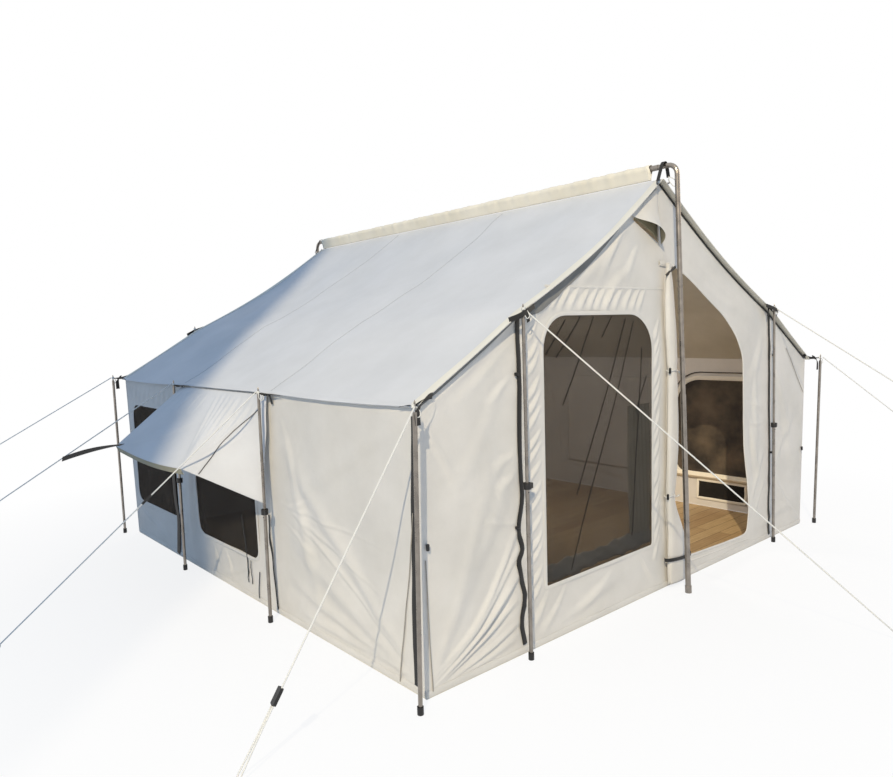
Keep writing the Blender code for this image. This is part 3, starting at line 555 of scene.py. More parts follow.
# %% Folds of the front wall
# Each fold is u and v at one end, u and v at the other, its width and its rise, and how
# far it bends sideways if it isn't straight.
FRONT_FOLDS = [
    (-1.81, 0.03, -1.18, 1.12, 0.04, 0.006), (-1.8, 0.02, -1.4, 0.98, 0.035, 0.006),
    (-1.79, 0.02, -1.14, 0.52, 0.038, 0.01), (-1.22, 1.45, -1.72, 0.75, 0.035, 0.003),
    (-1.22, 1.52, -0.95, 1.72, 0.03, 0.01), (-0.35, 1.85, -0.62, 1.6, 0.03, 0.011),
    (-1.0, 0.07, -0.4, 0.2, 0.03, 0.009), (-1.82, 0.06, -1.26, 0.64, 0.015, 0.013, -0.07),
    (-1.82, 0.04, -1.26, 0.52, 0.013, 0.015, -0.04), (-1.8, 0.03, -1.25, 0.4, 0.013, 0.018, -0.02),
    (-1.77, 0.03, -1.25, 0.28, 0.013, 0.016), (-1.7, 0.03, -1.24, 0.17, 0.012, 0.013),
    (-1.7, 0.02, -1.25, 0.1, 0.014, 0.008), (-1.22, 1.595, -1.8, 1.235, 0.022, 0.008),
    (-1.24, 1.5, -1.66, 1.21, 0.022, 0.003), (-1.28, 1.33, -1.46, 1.2, 0.018, 0.005),
    (-1.28, 0.98, -1.42, 0.9, 0.022, 0.006), (-1.28, 0.89, -1.4, 0.79, 0.022, 0.006),
    (-1.28, 0.64, -1.48, 0.69, 0.018, 0.006), (-1.83, 1.18, -1.6, 0.86, 0.02, 0.005),
    (1.22, 1.5, 1.72, 0.45, 0.038, 0.012), (1.24, 0.3, 1.7, 0.95, 0.035, 0.01),
    (1.2, 1.48, 1.0, 1.1, 0.032, 0.009), (1.1, 0.12, 1.72, 0.2, 0.03, 0.008),
    (1.02, 0.28, 1.2, 0.7, 0.022, 0.01), (1.06, 0.2, 1.24, 0.48, 0.018, 0.008),
    (0.95, 1.05, 1.22, 0.92, 0.025, 0.007), (0.96, 0.86, 1.2, 0.84, 0.015, 0.004),
    (1.1, 1.3, 1.06, 0.55, 0.03, 0.01), (1.0, 1.0, 1.12, 0.4, 0.022, 0.008),
    (0.55, 1.72, 1.1, 1.52, 0.035, 0.006), (0.3, 1.92, 0.95, 1.62, 0.03, 0.006),
    (1.3, 1.52, 1.8, 1.26, 0.024, 0.009), (1.81, 0.05, 1.33, 0.52, 0.022, 0.009, 0.04),
    (-0.3, 2.08, -0.8, 1.75, 0.03, 0.012, 0.02), (-0.36, 2.05, -0.62, 1.77, 0.022, 0.01),
    (-0.22, 1.98, -0.4, 1.77, 0.02, 0.007), (-0.62, 1.92, -0.9, 1.7, 0.024, 0.009),
    (-1.04, 0.27, -1.2, 0.07, 0.02, 0.008), (-0.9, 0.27, -1.1, 0.05, 0.018, 0.007),
    (-0.3, 0.26, -0.12, 0.08, 0.02, 0.006), (-0.5, 0.25, -0.85, 0.06, 0.022, 0.006),
]
for step in range(11):
    top_u = -0.9 + 0.072 * step + 0.012 * math.sin(5.0 * step)
    FRONT_FOLDS.append((top_u, 1.752, top_u - 0.105, 1.612, 0.014, 0.01))
for step in range(16):
    top_v = 0.34 + 0.083 * step + 0.015 * math.sin(4.0 * step)
    FRONT_FOLDS.append((-1.088, top_v, -1.215, top_v - 0.12, 0.013, 0.009, 0.01))
    FRONT_FOLDS.append((-0.075, top_v, -0.14, top_v - 0.15, 0.012, 0.007))
print("front folds:", len(FRONT_FOLDS))

# %% [markdown]
# ## Folds of the left wall
#
# The left wall is pulled hardest at its front corner, so its longest folds fan out from
# that corner's foot. Behind the second pole short pleats hang from the eave.

# %% Folds of the left wall
LEFT_FOLDS = [
    (-1.79, 0.05, -0.68, 0.98, 0.045, 0.013), (-1.78, 0.03, -0.7, 0.5, 0.04, 0.012),
    (-1.8, 1.18, -0.7, 0.68, 0.04, 0.009), (-0.66, 1.15, -1.05, 0.08, 0.04, 0.01),
    (0.6, 1.15, 0.7, 0.08, 0.035, 0.01), (-1.79, 0.04, -0.66, 0.26, 0.026, 0.013),
    (-1.75, 0.07, -0.76, 0.09, 0.018, 0.009), (-1.76, 0.08, -0.74, 0.62, 0.011, 0.006, 0.02),
    (-1.6, 0.36, -0.7, 0.63, 0.01, 0.005), (-1.66, 0.59, -0.62, 0.645, 0.008, 0.005),
    (-0.66, 0.55, -1.0, 0.42, 0.012, 0.005), (-0.66, 0.62, -0.98, 0.7, 0.012, 0.004),
    (-0.5, 1.16, -0.42, 0.55, 0.022, 0.009), (-0.56, 0.58, -0.38, 0.1, 0.022, 0.008),
    (-0.3, 0.22, 0.2, 0.05, 0.018, 0.007), (0.58, 0.95, 0.5, 0.2, 0.018, 0.007),
    (0.76, 1.1, 0.86, 0.3, 0.02, 0.008), (1.7, 0.22, 1.1, 0.06, 0.022, 0.008),
    (1.76, 0.24, 1.45, 0.14, 0.018, 0.007), (0.15, 0.24, 0.05, 0.05, 0.016, 0.006),
    (-0.12, 0.23, -0.26, 0.05, 0.016, 0.006), (0.32, 0.24, 0.26, 0.06, 0.016, 0.006),
]
for step in range(9):
    top_u = 0.86 + 0.1 * step
    LEFT_FOLDS.append((top_u, 1.225, top_u + 0.1, 1.07, 0.016, 0.007))
print("left folds:", len(LEFT_FOLDS))

# %% [markdown]
# ## Folds of the hidden walls
#
# The right and rear walls are hardly seen. Their folds start from the same kind of places
# as the others', but aren't a copy of them: cloth never falls the same way twice.

# %% Folds of the right and rear walls
RIGHT_FOLDS = [
    (-0.62, 1.05, -0.7, 0.1, 0.035, 0.009), (0.7, 1.05, 1.7, 0.15, 0.045, 0.013),
    (1.72, 1.1, 0.8, 0.4, 0.045, 0.012), (-1.75, 0.1, -1.1, 0.2, 0.025, 0.008),
    (0.6, 0.2, -0.4, 0.1, 0.025, 0.008), (-1.8, 1.15, -1.66, 0.2, 0.025, 0.008),
    (0.62, 1.1, 0.48, 0.15, 0.022, 0.008), (1.78, 0.06, 1.1, 0.62, 0.025, 0.008),
    (1.79, 0.05, 0.66, 0.28, 0.024, 0.01), (0.64, 0.62, 1.66, 0.58, 0.01, 0.005),
]
REAR_FOLDS = [
    (1.25, 1.5, 1.72, 0.35, 0.045, 0.011), (-1.25, 1.5, -0.55, 0.3, 0.045, 0.011),
    (-1.78, 0.05, -1.2, 0.95, 0.045, 0.012), (-1.74, 0.06, -0.7, 0.35, 0.04, 0.011),
    (1.8, 0.05, 1.2, 1.05, 0.03, 0.01), (0.35, 1.85, 0.62, 1.62, 0.03, 0.009),
    (-0.3, 2.0, -0.62, 1.5, 0.035, 0.009), (1.22, 1.1, 1.7, 0.7, 0.025, 0.007),
    (-1.22, 1.4, -1.7, 0.55, 0.028, 0.009), (-0.2, 1.3, -0.9, 0.9, 0.03, 0.006),
    (1.81, 0.03, 1.27, 0.5, 0.022, 0.012, 0.05), (-1.81, 0.03, -1.27, 0.42, 0.022, 0.012, 0.03),
]
for step in range(11):
    top_u = 0.9 - 0.072 * step + 0.012 * math.sin(5.0 * step)
    REAR_FOLDS.append((top_u, 1.752, top_u + 0.105, 1.612, 0.014, 0.009))
print("right and rear folds:", len(RIGHT_FOLDS), len(REAR_FOLDS))

# %% [markdown]
# ## From a fold to a height
#
# A fold is a ridge along a line with a shallow valley on one side. It wanders a little,
# widens along its way and swells in its middle. Under the folds lies a broad ripple of a
# few waves, whose seed is fixed, so it is the same each time.

# %% Heights of folds and ripple
def fold_height(u, v, folds):
    """How far the folds lift the cloth at each flat place."""
    height = np.zeros_like(u)
    for u0, v0, u1, v1, width, rise, *bend in folds:
        du, dv = u1 - u0, v1 - v0
        length = math.hypot(du, dv)
        t = np.clip(((u - u0) * du + (v - v0) * dv) / length ** 2, 0.0, 1.0)
        off = ((u - u0) * dv - (v - v0) * du) / length
        off = off + 0.25 * width * np.sin(6.0 * t + 3.0 * u0 + 5.0 * v0)
        off = off + sum(bend) * np.sin(np.pi * t)
        reach = width * (0.55 + 0.9 * t)
        swell = np.sin(np.pi * t ** 1.3) ** 0.8
        ridge = np.exp(-(off / reach) ** 2)
        valley = np.exp(-((off - 1.6 * reach) / reach) ** 2)
        height += rise * swell * (ridge - 0.45 * valley)
    return height


def ripple(u, v, seed, rise):
    """A broad uneven swell, made of a few waves in chance directions."""
    chance = np.random.default_rng(seed)
    total = np.zeros_like(u)
    for _ in range(8):
        angle, phase = chance.uniform(0.0, 2.0 * np.pi, 2)
        wavelength = chance.uniform(0.15, 0.75)
        across = u * np.cos(angle) + v * np.sin(angle)
        total += wavelength * np.sin(2.0 * np.pi * across / wavelength + phase)
    return rise * total / 1.2


print("fold helpers ready")

# %% [markdown]
# ## The four walls as flat panels
#
# A sewn wall is easiest to make as its maker does: cut it flat, cut its openings, and
# only then hang it. So each wall has a function that takes a flat place, u along and v
# up, and a height off the cloth, and gives the place in the tent. Folds fade out where
# the cloth is held. Straps and bindings use the same function, so they follow its folds.

# %% Hanging functions
def hold(distance, reach):
    """0 where the cloth is held, and 1 from a given reach on."""
    t = np.clip(distance / reach, 0.0, 1.0)
    return t * t * (3.0 - 2.0 * t)


def relief(free, u, v, folds, seed):
    """The folds and the broad ripple, as far as the cloth is free to take them."""
    return free * (fold_height(u, v, folds) + ripple(u, v, seed, 0.004))


def gable_surface(side, folds, seed):
    """A gable's function; side is -1 for the front one and 1 for the rear one."""
    def place(u, v, n):
        free = hold(v, 0.06) * hold(roof_z(u) - v, 0.06) * hold(side_wall_x(v) - np.abs(u), 0.04)
        n = n + relief(free, u, v, folds, seed)
        return u, side * (gable_wall_y(v) + n), v
    return place


def side_surface(side, folds, seed):
    """A side wall's function; side is -1 for the left one and 1 for the right one."""
    def place(u, v, n):
        free = hold(v, 0.06) * hold(EAVE_Z - v, 0.06) * hold(1.85 - np.abs(u), 0.05)
        n = n + relief(free, u, v, folds, seed)
        return side * (side_wall_x(v) + n), u * side_wall_x(v) / WALL_HALF, v
    return place


def roof_relief(u, v):
    """The slopes swell a little between the poles, and their eaves droop between them."""
    free = hold(ROOF_HALF_Y - np.abs(u), 0.10) * hold(v, 0.15) * hold(EAVE_X - v, 0.10)
    lift = free * ripple(u, v, 11, 0.005)
    for pole_u in (-SIDE_POLE_Y, SIDE_POLE_Y):
        lift = lift - 0.004 * np.exp(-((u - pole_u) / 0.04) ** 2) * v / EAVE_X
    span = np.clip((np.abs(u) - SIDE_POLE_Y) / 1.27, 0.0, 1.0)
    return lift - 0.010 * np.sin(np.pi * span) * np.clip(v / EAVE_X, 0.0, 1.0) ** 4


def roof_surface(side):
    """A slope's function, with u along the ridge and v from the ridge down to the eave."""
    def place(u, v, n):
        lift = 0.002 + n + roof_relief(u, v)
        return side * v, u * roof_half_y(v) / ROOF_HALF_Y, roof_z(v) + lift
    return place


HANG = {
    "front": gable_surface(-1.0, FRONT_FOLDS, 3), "rear": gable_surface(1.0, REAR_FOLDS, 5),
    "left": side_surface(-1.0, LEFT_FOLDS, 7), "right": side_surface(1.0, RIGHT_FOLDS, 9),
    "roof_left": roof_surface(-1.0), "roof_right": roof_surface(1.0)}


def line_on(surface, u, v, lift):
    """The places in the tent of a line on a surface."""
    return np.stack(HANG[surface](u, v, lift), axis=1).tolist()


print("surfaces:", sorted(HANG))

# %% [markdown]
# ## Cutting and hanging
#
# An opening is cut as a baker cuts dough: its outline is extruded into a solid, and a
# boolean takes that out of the flat panel. The flat places stay as the panel's UV map, so
# the weave isn't stretched when the panel is moved to its wall and given its thickness.

# %% Cut an opening, hang a panel
HALF_CUT = 0.05
CORNER_STEPS = 8


def flat_ring(outline, fill_type):
    """A circle whose points are moved to an outline, below the flat panel that it cuts."""
    bpy.ops.object.select_all(action="DESELECT")
    bpy.ops.mesh.primitive_circle_add(vertices=len(outline), fill_type=fill_type)
    ring = bpy.context.object
    move_points(ring, *np.array(outline).T, -HALF_CUT)
    return ring


def cut_away(panel, cutter):
    """Extrude a flat cutter up through a flat panel and take it out of the panel."""
    bpy.ops.object.mode_set(mode="EDIT")
    bpy.ops.mesh.select_all(action="SELECT")
    bpy.ops.mesh.extrude_region_move(
        TRANSFORM_OT_translate={"value": (0.0, 0.0, 2.0 * HALF_CUT)})
    bpy.ops.mesh.select_all(action="SELECT")
    bpy.ops.mesh.normals_make_consistent(inside=False)
    bpy.ops.object.mode_set(mode="OBJECT")
    apply_modifier(
        panel, "BOOLEAN", "opening", object=cutter, operation="DIFFERENCE", solver="EXACT")
    bpy.data.objects.remove(cutter, do_unlink=True)
    # The cut can leave the cutter's own sides on an open panel, so they are deleted.
    raised = np.abs(points_of(panel)[:, 2]) > 1e-5
    bpy.ops.object.mode_set(mode="EDIT")
    bpy.ops.mesh.select_mode(type="VERT")
    bpy.ops.mesh.select_all(action="DESELECT")
    bpy.ops.object.mode_set(mode="OBJECT")
    panel.data.vertices.foreach_set("select", raised)
    bpy.ops.object.mode_set(mode="EDIT")
    bpy.ops.mesh.delete(type="VERT")
    bpy.ops.object.mode_set(mode="OBJECT")


def cut_opening(panel, outline):
    cut_away(panel, flat_ring(outline, "NGON"))


def hang_cloth(panel, surface, lift=0.0, thickness=CLOTH):
    """Keep the flat place as UVs, move the cloth to its surface and thicken it."""
    u, v = points_of(panel)[:, :2].T
    write_uv(panel, u, v)
    move_points(panel, *HANG[surface](u, v, lift))
    thicken(panel, thickness)


def arched(u0, u1, v0, v1, radii, grow=0.0):
    """A window outline, from its bottom left corner round to its top left one."""
    u0, u1, v0, v1 = u0 - grow, u1 + grow, v0 - grow, v1 + grow
    corners = (
        (u0, v0, 1, 1, 180), (u1, v0, -1, 1, 270), (u1, v1, -1, -1, 0), (u0, v1, 1, -1, 90))
    outline = []
    for (cu, cv, su, sv, first), radius in zip(corners, radii):
        r = max(0.005, radius + grow)
        for i in range(CORNER_STEPS + 1):
            turn = math.radians(first + 90.0 * i / CORNER_STEPS)
            outline.append((cu + su * r + r * math.cos(turn), cv + sv * r + r * math.sin(turn)))
    return outline


print("panel helpers ready")

# %% [markdown]
# ## The openings
#
# Windows are rounded rectangles, each with its sides, its foot and head, and its four
# corners' radii. The door is one long curve, wavy at its edge because a bound canvas edge
# never hangs true: a few points are read off the picture, and their corners are cut
# until the line is smooth.

# %% Outlines of the openings
FRONT_WINDOW = (-1.07, -0.155, 0.285, 1.60, (0.012, 0.02, 0.20, 0.17))
REAR_WINDOW = (0.155, 1.07, 0.285, 1.60, (0.02, 0.012, 0.17, 0.20))
LEFT_MIDDLE = (-0.34, 0.54, 0.26, 1.05, (0.06, 0.10, 0.1, 0.1))
LEFT_REAR = (0.86, 1.72, 0.29, 1.05, (0.10, 0.08, 0.1, 0.1))
RIGHT_FRONT = (-1.66, -0.80, 0.28, 1.07, (0.08, 0.08, 0.2, 0.2))
RIGHT_MIDDLE = (-0.52, 0.34, 0.27, 1.04, (0.08, 0.08, 0.1, 0.1))
DOOR = [
    (0.06, 0.135), (0.50, 0.120), (0.93, 0.100), (0.985, 0.125), (1.01, 0.27),
    (0.98, 0.50), (0.93, 0.70), (0.90, 0.93), (0.89, 1.15), (0.885, 1.31), (0.81, 1.45),
    (0.67, 1.58), (0.44, 1.70), (0.25, 1.81), (0.14, 1.865), (0.06, 1.875)]
PEAK_VENT = [(-0.265, 2.108), (-0.035, 1.996), (-0.035, 2.27), (-0.20, 2.165)]


def rounded_off(outline, rounds):
    """Cut a closed outline's corners again and again, until it is a smooth curve."""
    for _ in range(rounds):
        smoother = []
        for (x0, z0), (x1, z1) in zip(outline, outline[1:] + outline[:1]):
            smoother += [(0.8 * x0 + 0.2 * x1, 0.8 * z0 + 0.2 * z1)]
            smoother += [(0.2 * x0 + 0.8 * x1, 0.2 * z0 + 0.8 * z1)]
        outline = smoother
    return outline


door_curve = rounded_off(DOOR, 2)
print("door outline:", len(door_curve), "points")

# %% [markdown]
# ## The wall panels
#
# The front wall is two panels that meet at the centre seam, because the door leaf hangs
# there. The gables follow the sagging roof line, so a grid's columns are stretched up to
# it. A grid is finest where the picture shows the most folds, and coarse on hidden walls.

# %% Gable and side panels, cut flat
WALL_FOOT = 0.007
SEAM_GAP = 0.0004
ROOF_GAP = 0.0008
CORNER_LAP = 0.0015
SIDE_PANEL_HALF, SIDE_PANEL_HEIGHT = 1.8285, 1.2385


def gable_panel(name, side, columns, rows):
    """Half a gable: side -1 is left of the centre seam and 1 is right of it."""
    panel, a, b = grid_piece(name, columns, rows)
    outward = a if side > 0 else 1.0 - a
    u = side * (SEAM_GAP + outward * (side_wall_x(1.245) + CORNER_LAP))
    for _ in range(3):
        v = WALL_FOOT + b * (roof_z(u) - ROOF_GAP - WALL_FOOT)
        u = side * (SEAM_GAP + outward * (side_wall_x(v) + CORNER_LAP))
    move_points(panel, u, v, 0.0)
    return panel


def side_panel(name, columns, rows):
    panel, a, b = grid_piece(name, columns, rows)
    move_points(
        panel, (2.0 * a - 1.0) * SIDE_PANEL_HALF, WALL_FOOT + b * SIDE_PANEL_HEIGHT, 0.0)
    return panel


front_left = gable_panel("front_wall_left_canvas", -1, 252, 276)
cut_opening(front_left, arched(*FRONT_WINDOW))
cut_opening(front_left, PEAK_VENT)
front_right = gable_panel("front_wall_right_canvas", 1, 180, 200)
cut_opening(front_right, door_curve)
rear_left = gable_panel("rear_wall_left_canvas", -1, 64, 70)
rear_right = gable_panel("rear_wall_right_canvas", 1, 64, 70)
cut_opening(rear_right, arched(*REAR_WINDOW))
left_side = side_panel("left_wall_canvas", 400, 140)
cut_opening(left_side, arched(*LEFT_MIDDLE))
cut_opening(left_side, arched(*LEFT_REAR))
right_side = side_panel("right_wall_canvas", 220, 76)
cut_opening(right_side, arched(*RIGHT_FRONT))
cut_opening(right_side, arched(*RIGHT_MIDDLE))
for panel in (front_left, front_right, rear_right, left_side, right_side):
    print(panel.name, len(panel.data.polygons), "faces")

# %% [markdown]
# ## Hanging the walls
#
# Each panel takes the place of the CAD's thick one, where there is one. Each is listed
# with the rectangle that it was cut from and its own area, which is less by its slanted
# edge and its openings, though nothing here uses these. Areas are in square metres.

# %% Hang the walls
GABLE_FLAT, GABLE_AREA = (1.86, 2.36), 0.5 * (1.24 + 2.35) * 1.85
SIDE_FLAT, SIDE_AREA = (3.70, 1.26), 4.61
GABLE_WINDOW_AREA, DOOR_AREA, SIDE_WINDOWS_AREA = 1.20, 1.32, 1.33
for panel, surface, nodes, flat, area in (
        (front_left, "front", ["front_wall_left"], GABLE_FLAT, GABLE_AREA - GABLE_WINDOW_AREA),
        (front_right, "front", ["front_wall_right"], GABLE_FLAT, GABLE_AREA - DOOR_AREA),
        (rear_left, "rear", [], GABLE_FLAT, GABLE_AREA),
        (rear_right, "rear", ["rear_wall"], GABLE_FLAT, GABLE_AREA - GABLE_WINDOW_AREA),
        (left_side, "left", ["left_wall"], SIDE_FLAT, SIDE_AREA - SIDE_WINDOWS_AREA),
        (right_side, "right", ["right_wall"], SIDE_FLAT, SIDE_AREA - SIDE_WINDOWS_AREA)):
    hang_cloth(panel, surface)
    finish_piece(panel, wall_finish)
    if nodes:
        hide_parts(*nodes)
print("walls hung")

# %% [markdown]
# ## The roof
#
# Each slope is one panel from ridge to eave. It sags between the ridge and the gable
# poles, and it is pulled flat at the poles. Its inside has a finish of its own, a warm beige
# that is painted light for the sun shining through the cloth. The left slope's grid runs the
# other way from the right one's, because a mirrored grid would turn its outer side in.

# %% Roof slopes
RIDGE_GAP = 0.0006


def roof_panel(name, surface, direction):
    """One slope; direction runs the grid so that its outer side faces up."""
    panel, a, b = grid_piece(name, 150, 84)
    u = direction * (2.0 * a - 1.0) * ROOF_HALF_Y
    v = RIDGE_GAP + b * (EAVE_X - RIDGE_GAP)
    write_uv(panel, u, v)
    move_points(panel, *HANG[surface](u, v, 0.0))
    finish_piece(panel, roof_finish)
    panel.data.materials.append(underside_glow_finish)
    thicken(panel, material_offset=1)
    return panel


for side, sx in SIDES:
    slope = roof_panel(f"roof_{side}_canvas", f"roof_{side}", -sx)
    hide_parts(f"roof_{side}")
    print(slope.name, len(slope.data.polygons), "faces")

# %% [markdown]
# ## Mesh windows
#
# Each window's mesh is a panel of its own behind the canvas edge. It is cut from a grid
# with an outline a few millimetres wider than the opening, so that its edge disappears
# under the binding, and it hangs three millimetres inside the wall. What is cut away is
# the ring between that outline and one that is wider than the grid.

# %% Mesh panels
NET_THICKNESS = 0.0008
NET_MARGIN = 0.006
NET_BEHIND = 0.003
SPARE, BEYOND_SPARE = 0.1, 0.25


def mesh_panel(name, node, window, surface, finish):
    u0, u1, v0, v1, radii = window
    panel, a, b = grid_piece(name, 44, 56)
    move_points(
        panel, u0 - SPARE + a * (u1 - u0 + 2.0 * SPARE),
        v0 - SPARE + b * (v1 - v0 + 2.0 * SPARE), 0.0)
    outer = arched(*window, BEYOND_SPARE)
    cutter = flat_ring(outer, "NOTHING")
    bpy.ops.object.mode_set(mode="EDIT")
    bpy.ops.mesh.select_all(action="SELECT")
    bpy.ops.mesh.extrude_edges_move(TRANSFORM_OT_translate={"value": (0.0, 0.0, 0.0)})
    bpy.ops.object.mode_set(mode="OBJECT")
    moved = points_of(cutter)
    moved[len(outer):, :2] = arched(*window, NET_MARGIN)
    move_points(cutter, moved[:, 0], moved[:, 1], -HALF_CUT)
    cut_away(panel, cutter)
    hang_cloth(panel, surface, lift=-NET_BEHIND, thickness=NET_THICKNESS)
    finish_piece(panel, finish)
    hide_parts(node)
    return panel


for name, window, surface, finish, wall in (
        ("front_window_mesh", FRONT_WINDOW, "front", open_net, "front_wall_left_canvas"),
        ("rear_window_mesh", REAR_WINDOW, "rear", open_net, "rear_wall_right_canvas"),
        ("left_middle_mesh", LEFT_MIDDLE, "left", net_finish, "left_wall_canvas"),
        ("left_rear_mesh", LEFT_REAR, "left", net_finish, "left_wall_canvas"),
        ("right_front_mesh", RIGHT_FRONT, "right", backed_net, "right_wall_canvas"),
        ("right_middle_mesh", RIGHT_MIDDLE, "right", backed_net, "right_wall_canvas")):
    panel = mesh_panel(f"{name}_panel", name, window, surface, finish)
    print(panel.name, len(panel.data.polygons), "faces")

# %% [markdown]
# ## Bands that lie on the cloth
#
# Bindings, hems, webbing and zip tapes are all long bands. One grid with a few columns
# is laid along a path on the flat panel, crowned a little across its width, and then
# hung with the wall's own function. A closed band meets itself and is merged there.

# %% A band laid on a surface
def smooth_normals(path, closed):
    """The direction square to a flat path at each of its points."""
    flat = np.array(path)
    if closed:
        ahead = np.roll(flat, -1, axis=0) - np.roll(flat, 1, axis=0)
    else:
        ahead = np.gradient(flat, axis=0)
    ahead /= np.maximum(1e-9, np.hypot(ahead[:, 0], ahead[:, 1]))[:, None]
    return flat, np.stack((ahead[:, 1], -ahead[:, 0]), axis=1)


def band(name, surface, path, width, finish, lift=0.002, crown=0.002, closed=False,
         shift=0.0, thickness=0.002):
    """Lay a band along a flat path; width is one number or one a point of the path."""
    flat, normals = smooth_normals(path, closed)
    if closed:
        flat = np.vstack((flat, flat[:1]))
        normals = np.vstack((normals, normals[:1]))
    piece, a, b = grid_piece(name, len(flat) - 1, 4)
    step = np.rint(a * (len(flat) - 1)).astype(int)
    wide = np.broadcast_to(np.asarray(width, dtype=float), (len(flat),))[step]
    off = (b - 0.5) * wide + shift
    u = flat[step, 0] + normals[step, 0] * off
    v = flat[step, 1] + normals[step, 1] * off
    run = np.concatenate(([0.0], np.cumsum(np.hypot(*np.diff(flat, axis=0).T))))
    write_uv(piece, run[step], b * wide)
    move_points(piece, *HANG[surface](u, v, lift + crown * (1.0 - (2.0 * b - 1.0) ** 2)))
    if closed:
        close_seam()
    thicken(piece, thickness)
    return finish_piece(piece, finish)


def straight(points, step=0.03):
    """Fill in a flat path so that its points are no more than a step apart."""
    filled = []
    for (u0, v0), (u1, v1) in zip(points, points[1:]):
        count = max(1, int(math.hypot(u1 - u0, v1 - v0) / step))
        for i in range(count):
            filled.append((u0 + (u1 - u0) * i / count, v0 + (v1 - v0) * i / count))
    return filled + [points[-1]]


print("band helper ready")

# %% [markdown]
# ## Bindings
#
# A cut edge of canvas frays, so each opening is bound with folded cloth. A closed band
# along the outline the panel was cut with, shifted outwards, covers that edge.

# %% Bindings round the windows and the door
for name, window, surface in (
        ("front_window", FRONT_WINDOW, "front"),
        ("rear_window", REAR_WINDOW, "rear"),
        ("left_middle_window", LEFT_MIDDLE, "left"),
        ("left_rear_window", LEFT_REAR, "left"),
        ("right_front_window", RIGHT_FRONT, "right"),
        ("right_middle_window", RIGHT_MIDDLE, "right")):
    band(
        f"{name}_binding", surface, arched(*window), 0.020, wall_finish,
        lift=0.0015, crown=0.002, closed=True, shift=0.006)
    if surface == "right":
        # The open door shows this side of the right wall, where the binding is wider.
        band(
            f"{name}_inner_binding", surface, arched(*window), 0.034, trim_finish,
            lift=-0.008, crown=-0.004, closed=True, shift=0.013)
band(
    "door_binding", "front", door_curve, 0.016, wall_finish,
    lift=0.001, crown=0.004, closed=True, shift=0.004, thickness=0.003)
print("bindings done")

# %% [markdown]
# ## Hems and seams of the walls
#
# The foot of each wall is turned up into a hem. Across the left front panel two widths of
# cloth meet in a seam over the window, and a tape strengthens the door's sill.

# %% Hems, sill and seams
HEM_Z, HEM_WIDTH = 0.022, 0.030
for name, surface, ends, width, lift, crown in (
        ("front_hem", "front", [(-1.83, HEM_Z), (1.83, HEM_Z)], HEM_WIDTH, 0.002, 0.002),
        ("front_cross_seam", "front", [(-1.03, 1.737), (-0.02, 1.737)], 0.012, 0.001, 0.0015),
        ("front_sill_tape", "front", [(0.0, 0.098), (1.0, 0.066)], 0.010, 0.001, 0.002),
        ("left_hem", "left", [(-1.82, HEM_Z), (1.82, HEM_Z)], HEM_WIDTH, 0.002, 0.002),
        ("right_hem", "right", [(-1.82, HEM_Z), (1.82, HEM_Z)], HEM_WIDTH, 0.002, 0.002),
        ("rear_hem", "rear", [(-1.83, HEM_Z), (1.83, HEM_Z)], HEM_WIDTH, 0.002, 0.002)):
    band(name, surface, straight(ends), width, wall_finish, lift, crown)
print("hems done")

# %% [markdown]
# ## Hems of the roof
#
# Along the gables the roof's edge is turned over and stitched to a pale band, 50 mm wide,
# that lies flush with the edge. The eave has a narrow hem of the roof's own cloth, and at
# each side pole two widths of cloth meet in a lapped seam. All are laid with the roof's
# own function.

# %% Roof edge bands and lapped seams
ROOF_HEM_U, EAVE_HEM_V = 1.855, 1.86
for side, _ in SIDES:
    slope = f"roof_{side}"
    for end, sy in ENDS:
        band(
            f"{slope}_{end}_hem", slope,
            straight([(sy * ROOF_HEM_U, 0.01), (sy * ROOF_HEM_U, EAVE_HEM_V)]), 0.050,
            trim_finish, lift=0.003, crown=0.002)
    band(
        f"{slope}_eave_hem", slope, straight([(-1.87, EAVE_HEM_V), (1.87, EAVE_HEM_V)]),
        0.022, roof_finish, lift=0.002, crown=0.002)
    # The seams' grey is painted shade in the lap.
    for end, sy in ENDS:
        band(
            f"{slope}_seam_{end}", slope,
            straight([(sy * SIDE_POLE_Y, 0.03), (sy * SIDE_POLE_Y, 1.85)]), 0.008,
            shaded_seam_finish, lift=0.0012, crown=0.0012)
print("roof hems done")

# %% [markdown]
# ## The ridge sleeve
#
# The ridge pole runs in a cream sleeve above the roof. It hangs on the pole like a
# drop: round over the tube, pinched to the roof's ridge, and ruffled along its length
# because it is a little too long for the pole.

# %% Sleeve over the ridge pole
SLEEVE_START, SLEEVE_LENGTH = -1.752, 3.554
SLEEVE_R = 0.0240
SLEEVE_ROUND = 0.19


def ridge_sleeve():
    piece, a, b = grid_piece("ridge_sleeve_canvas", 190, 22)
    turn = 2.0 * np.pi * b
    y = SLEEVE_START + SLEEVE_LENGTH * a
    ruffle = 0.0028 * np.sin(41.0 * y + 2.0 * np.sin(9.0 * y)) + 0.0022 * np.sin(97.0 * y)
    ruffle += 0.0014 * np.sin(180.0 * y + 1.5 * np.sin(23.0 * y))
    r = SLEEVE_R + ruffle * (0.4 + 0.6 * np.abs(np.sin(turn)))
    x = r * np.sin(turn)
    z = RIDGE_POLE_Z - r * np.cos(turn)
    low = np.clip((np.cos(turn) - 0.35) / 0.65, 0.0, 1.0)
    x = x * (1.0 - 0.55 * low)
    z = z - low ** 1.5 * (RIDGE_POLE_Z - r - RIDGE_Z - 0.005)
    write_uv(piece, y, b * SLEEVE_ROUND)
    move_points(piece, x, y + 0.004 * np.sin(2.0 * turn) * (a < 0.01), z)
    close_seam(turn_outward=True)
    thicken(piece, 0.0016, sharp=False, offset=-1.0)
    return piece


sleeve = finish_piece(ridge_sleeve(), sleeve_finish)
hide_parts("ridge_sleeve")
print("sleeve:", len(sleeve.data.polygons), "faces")

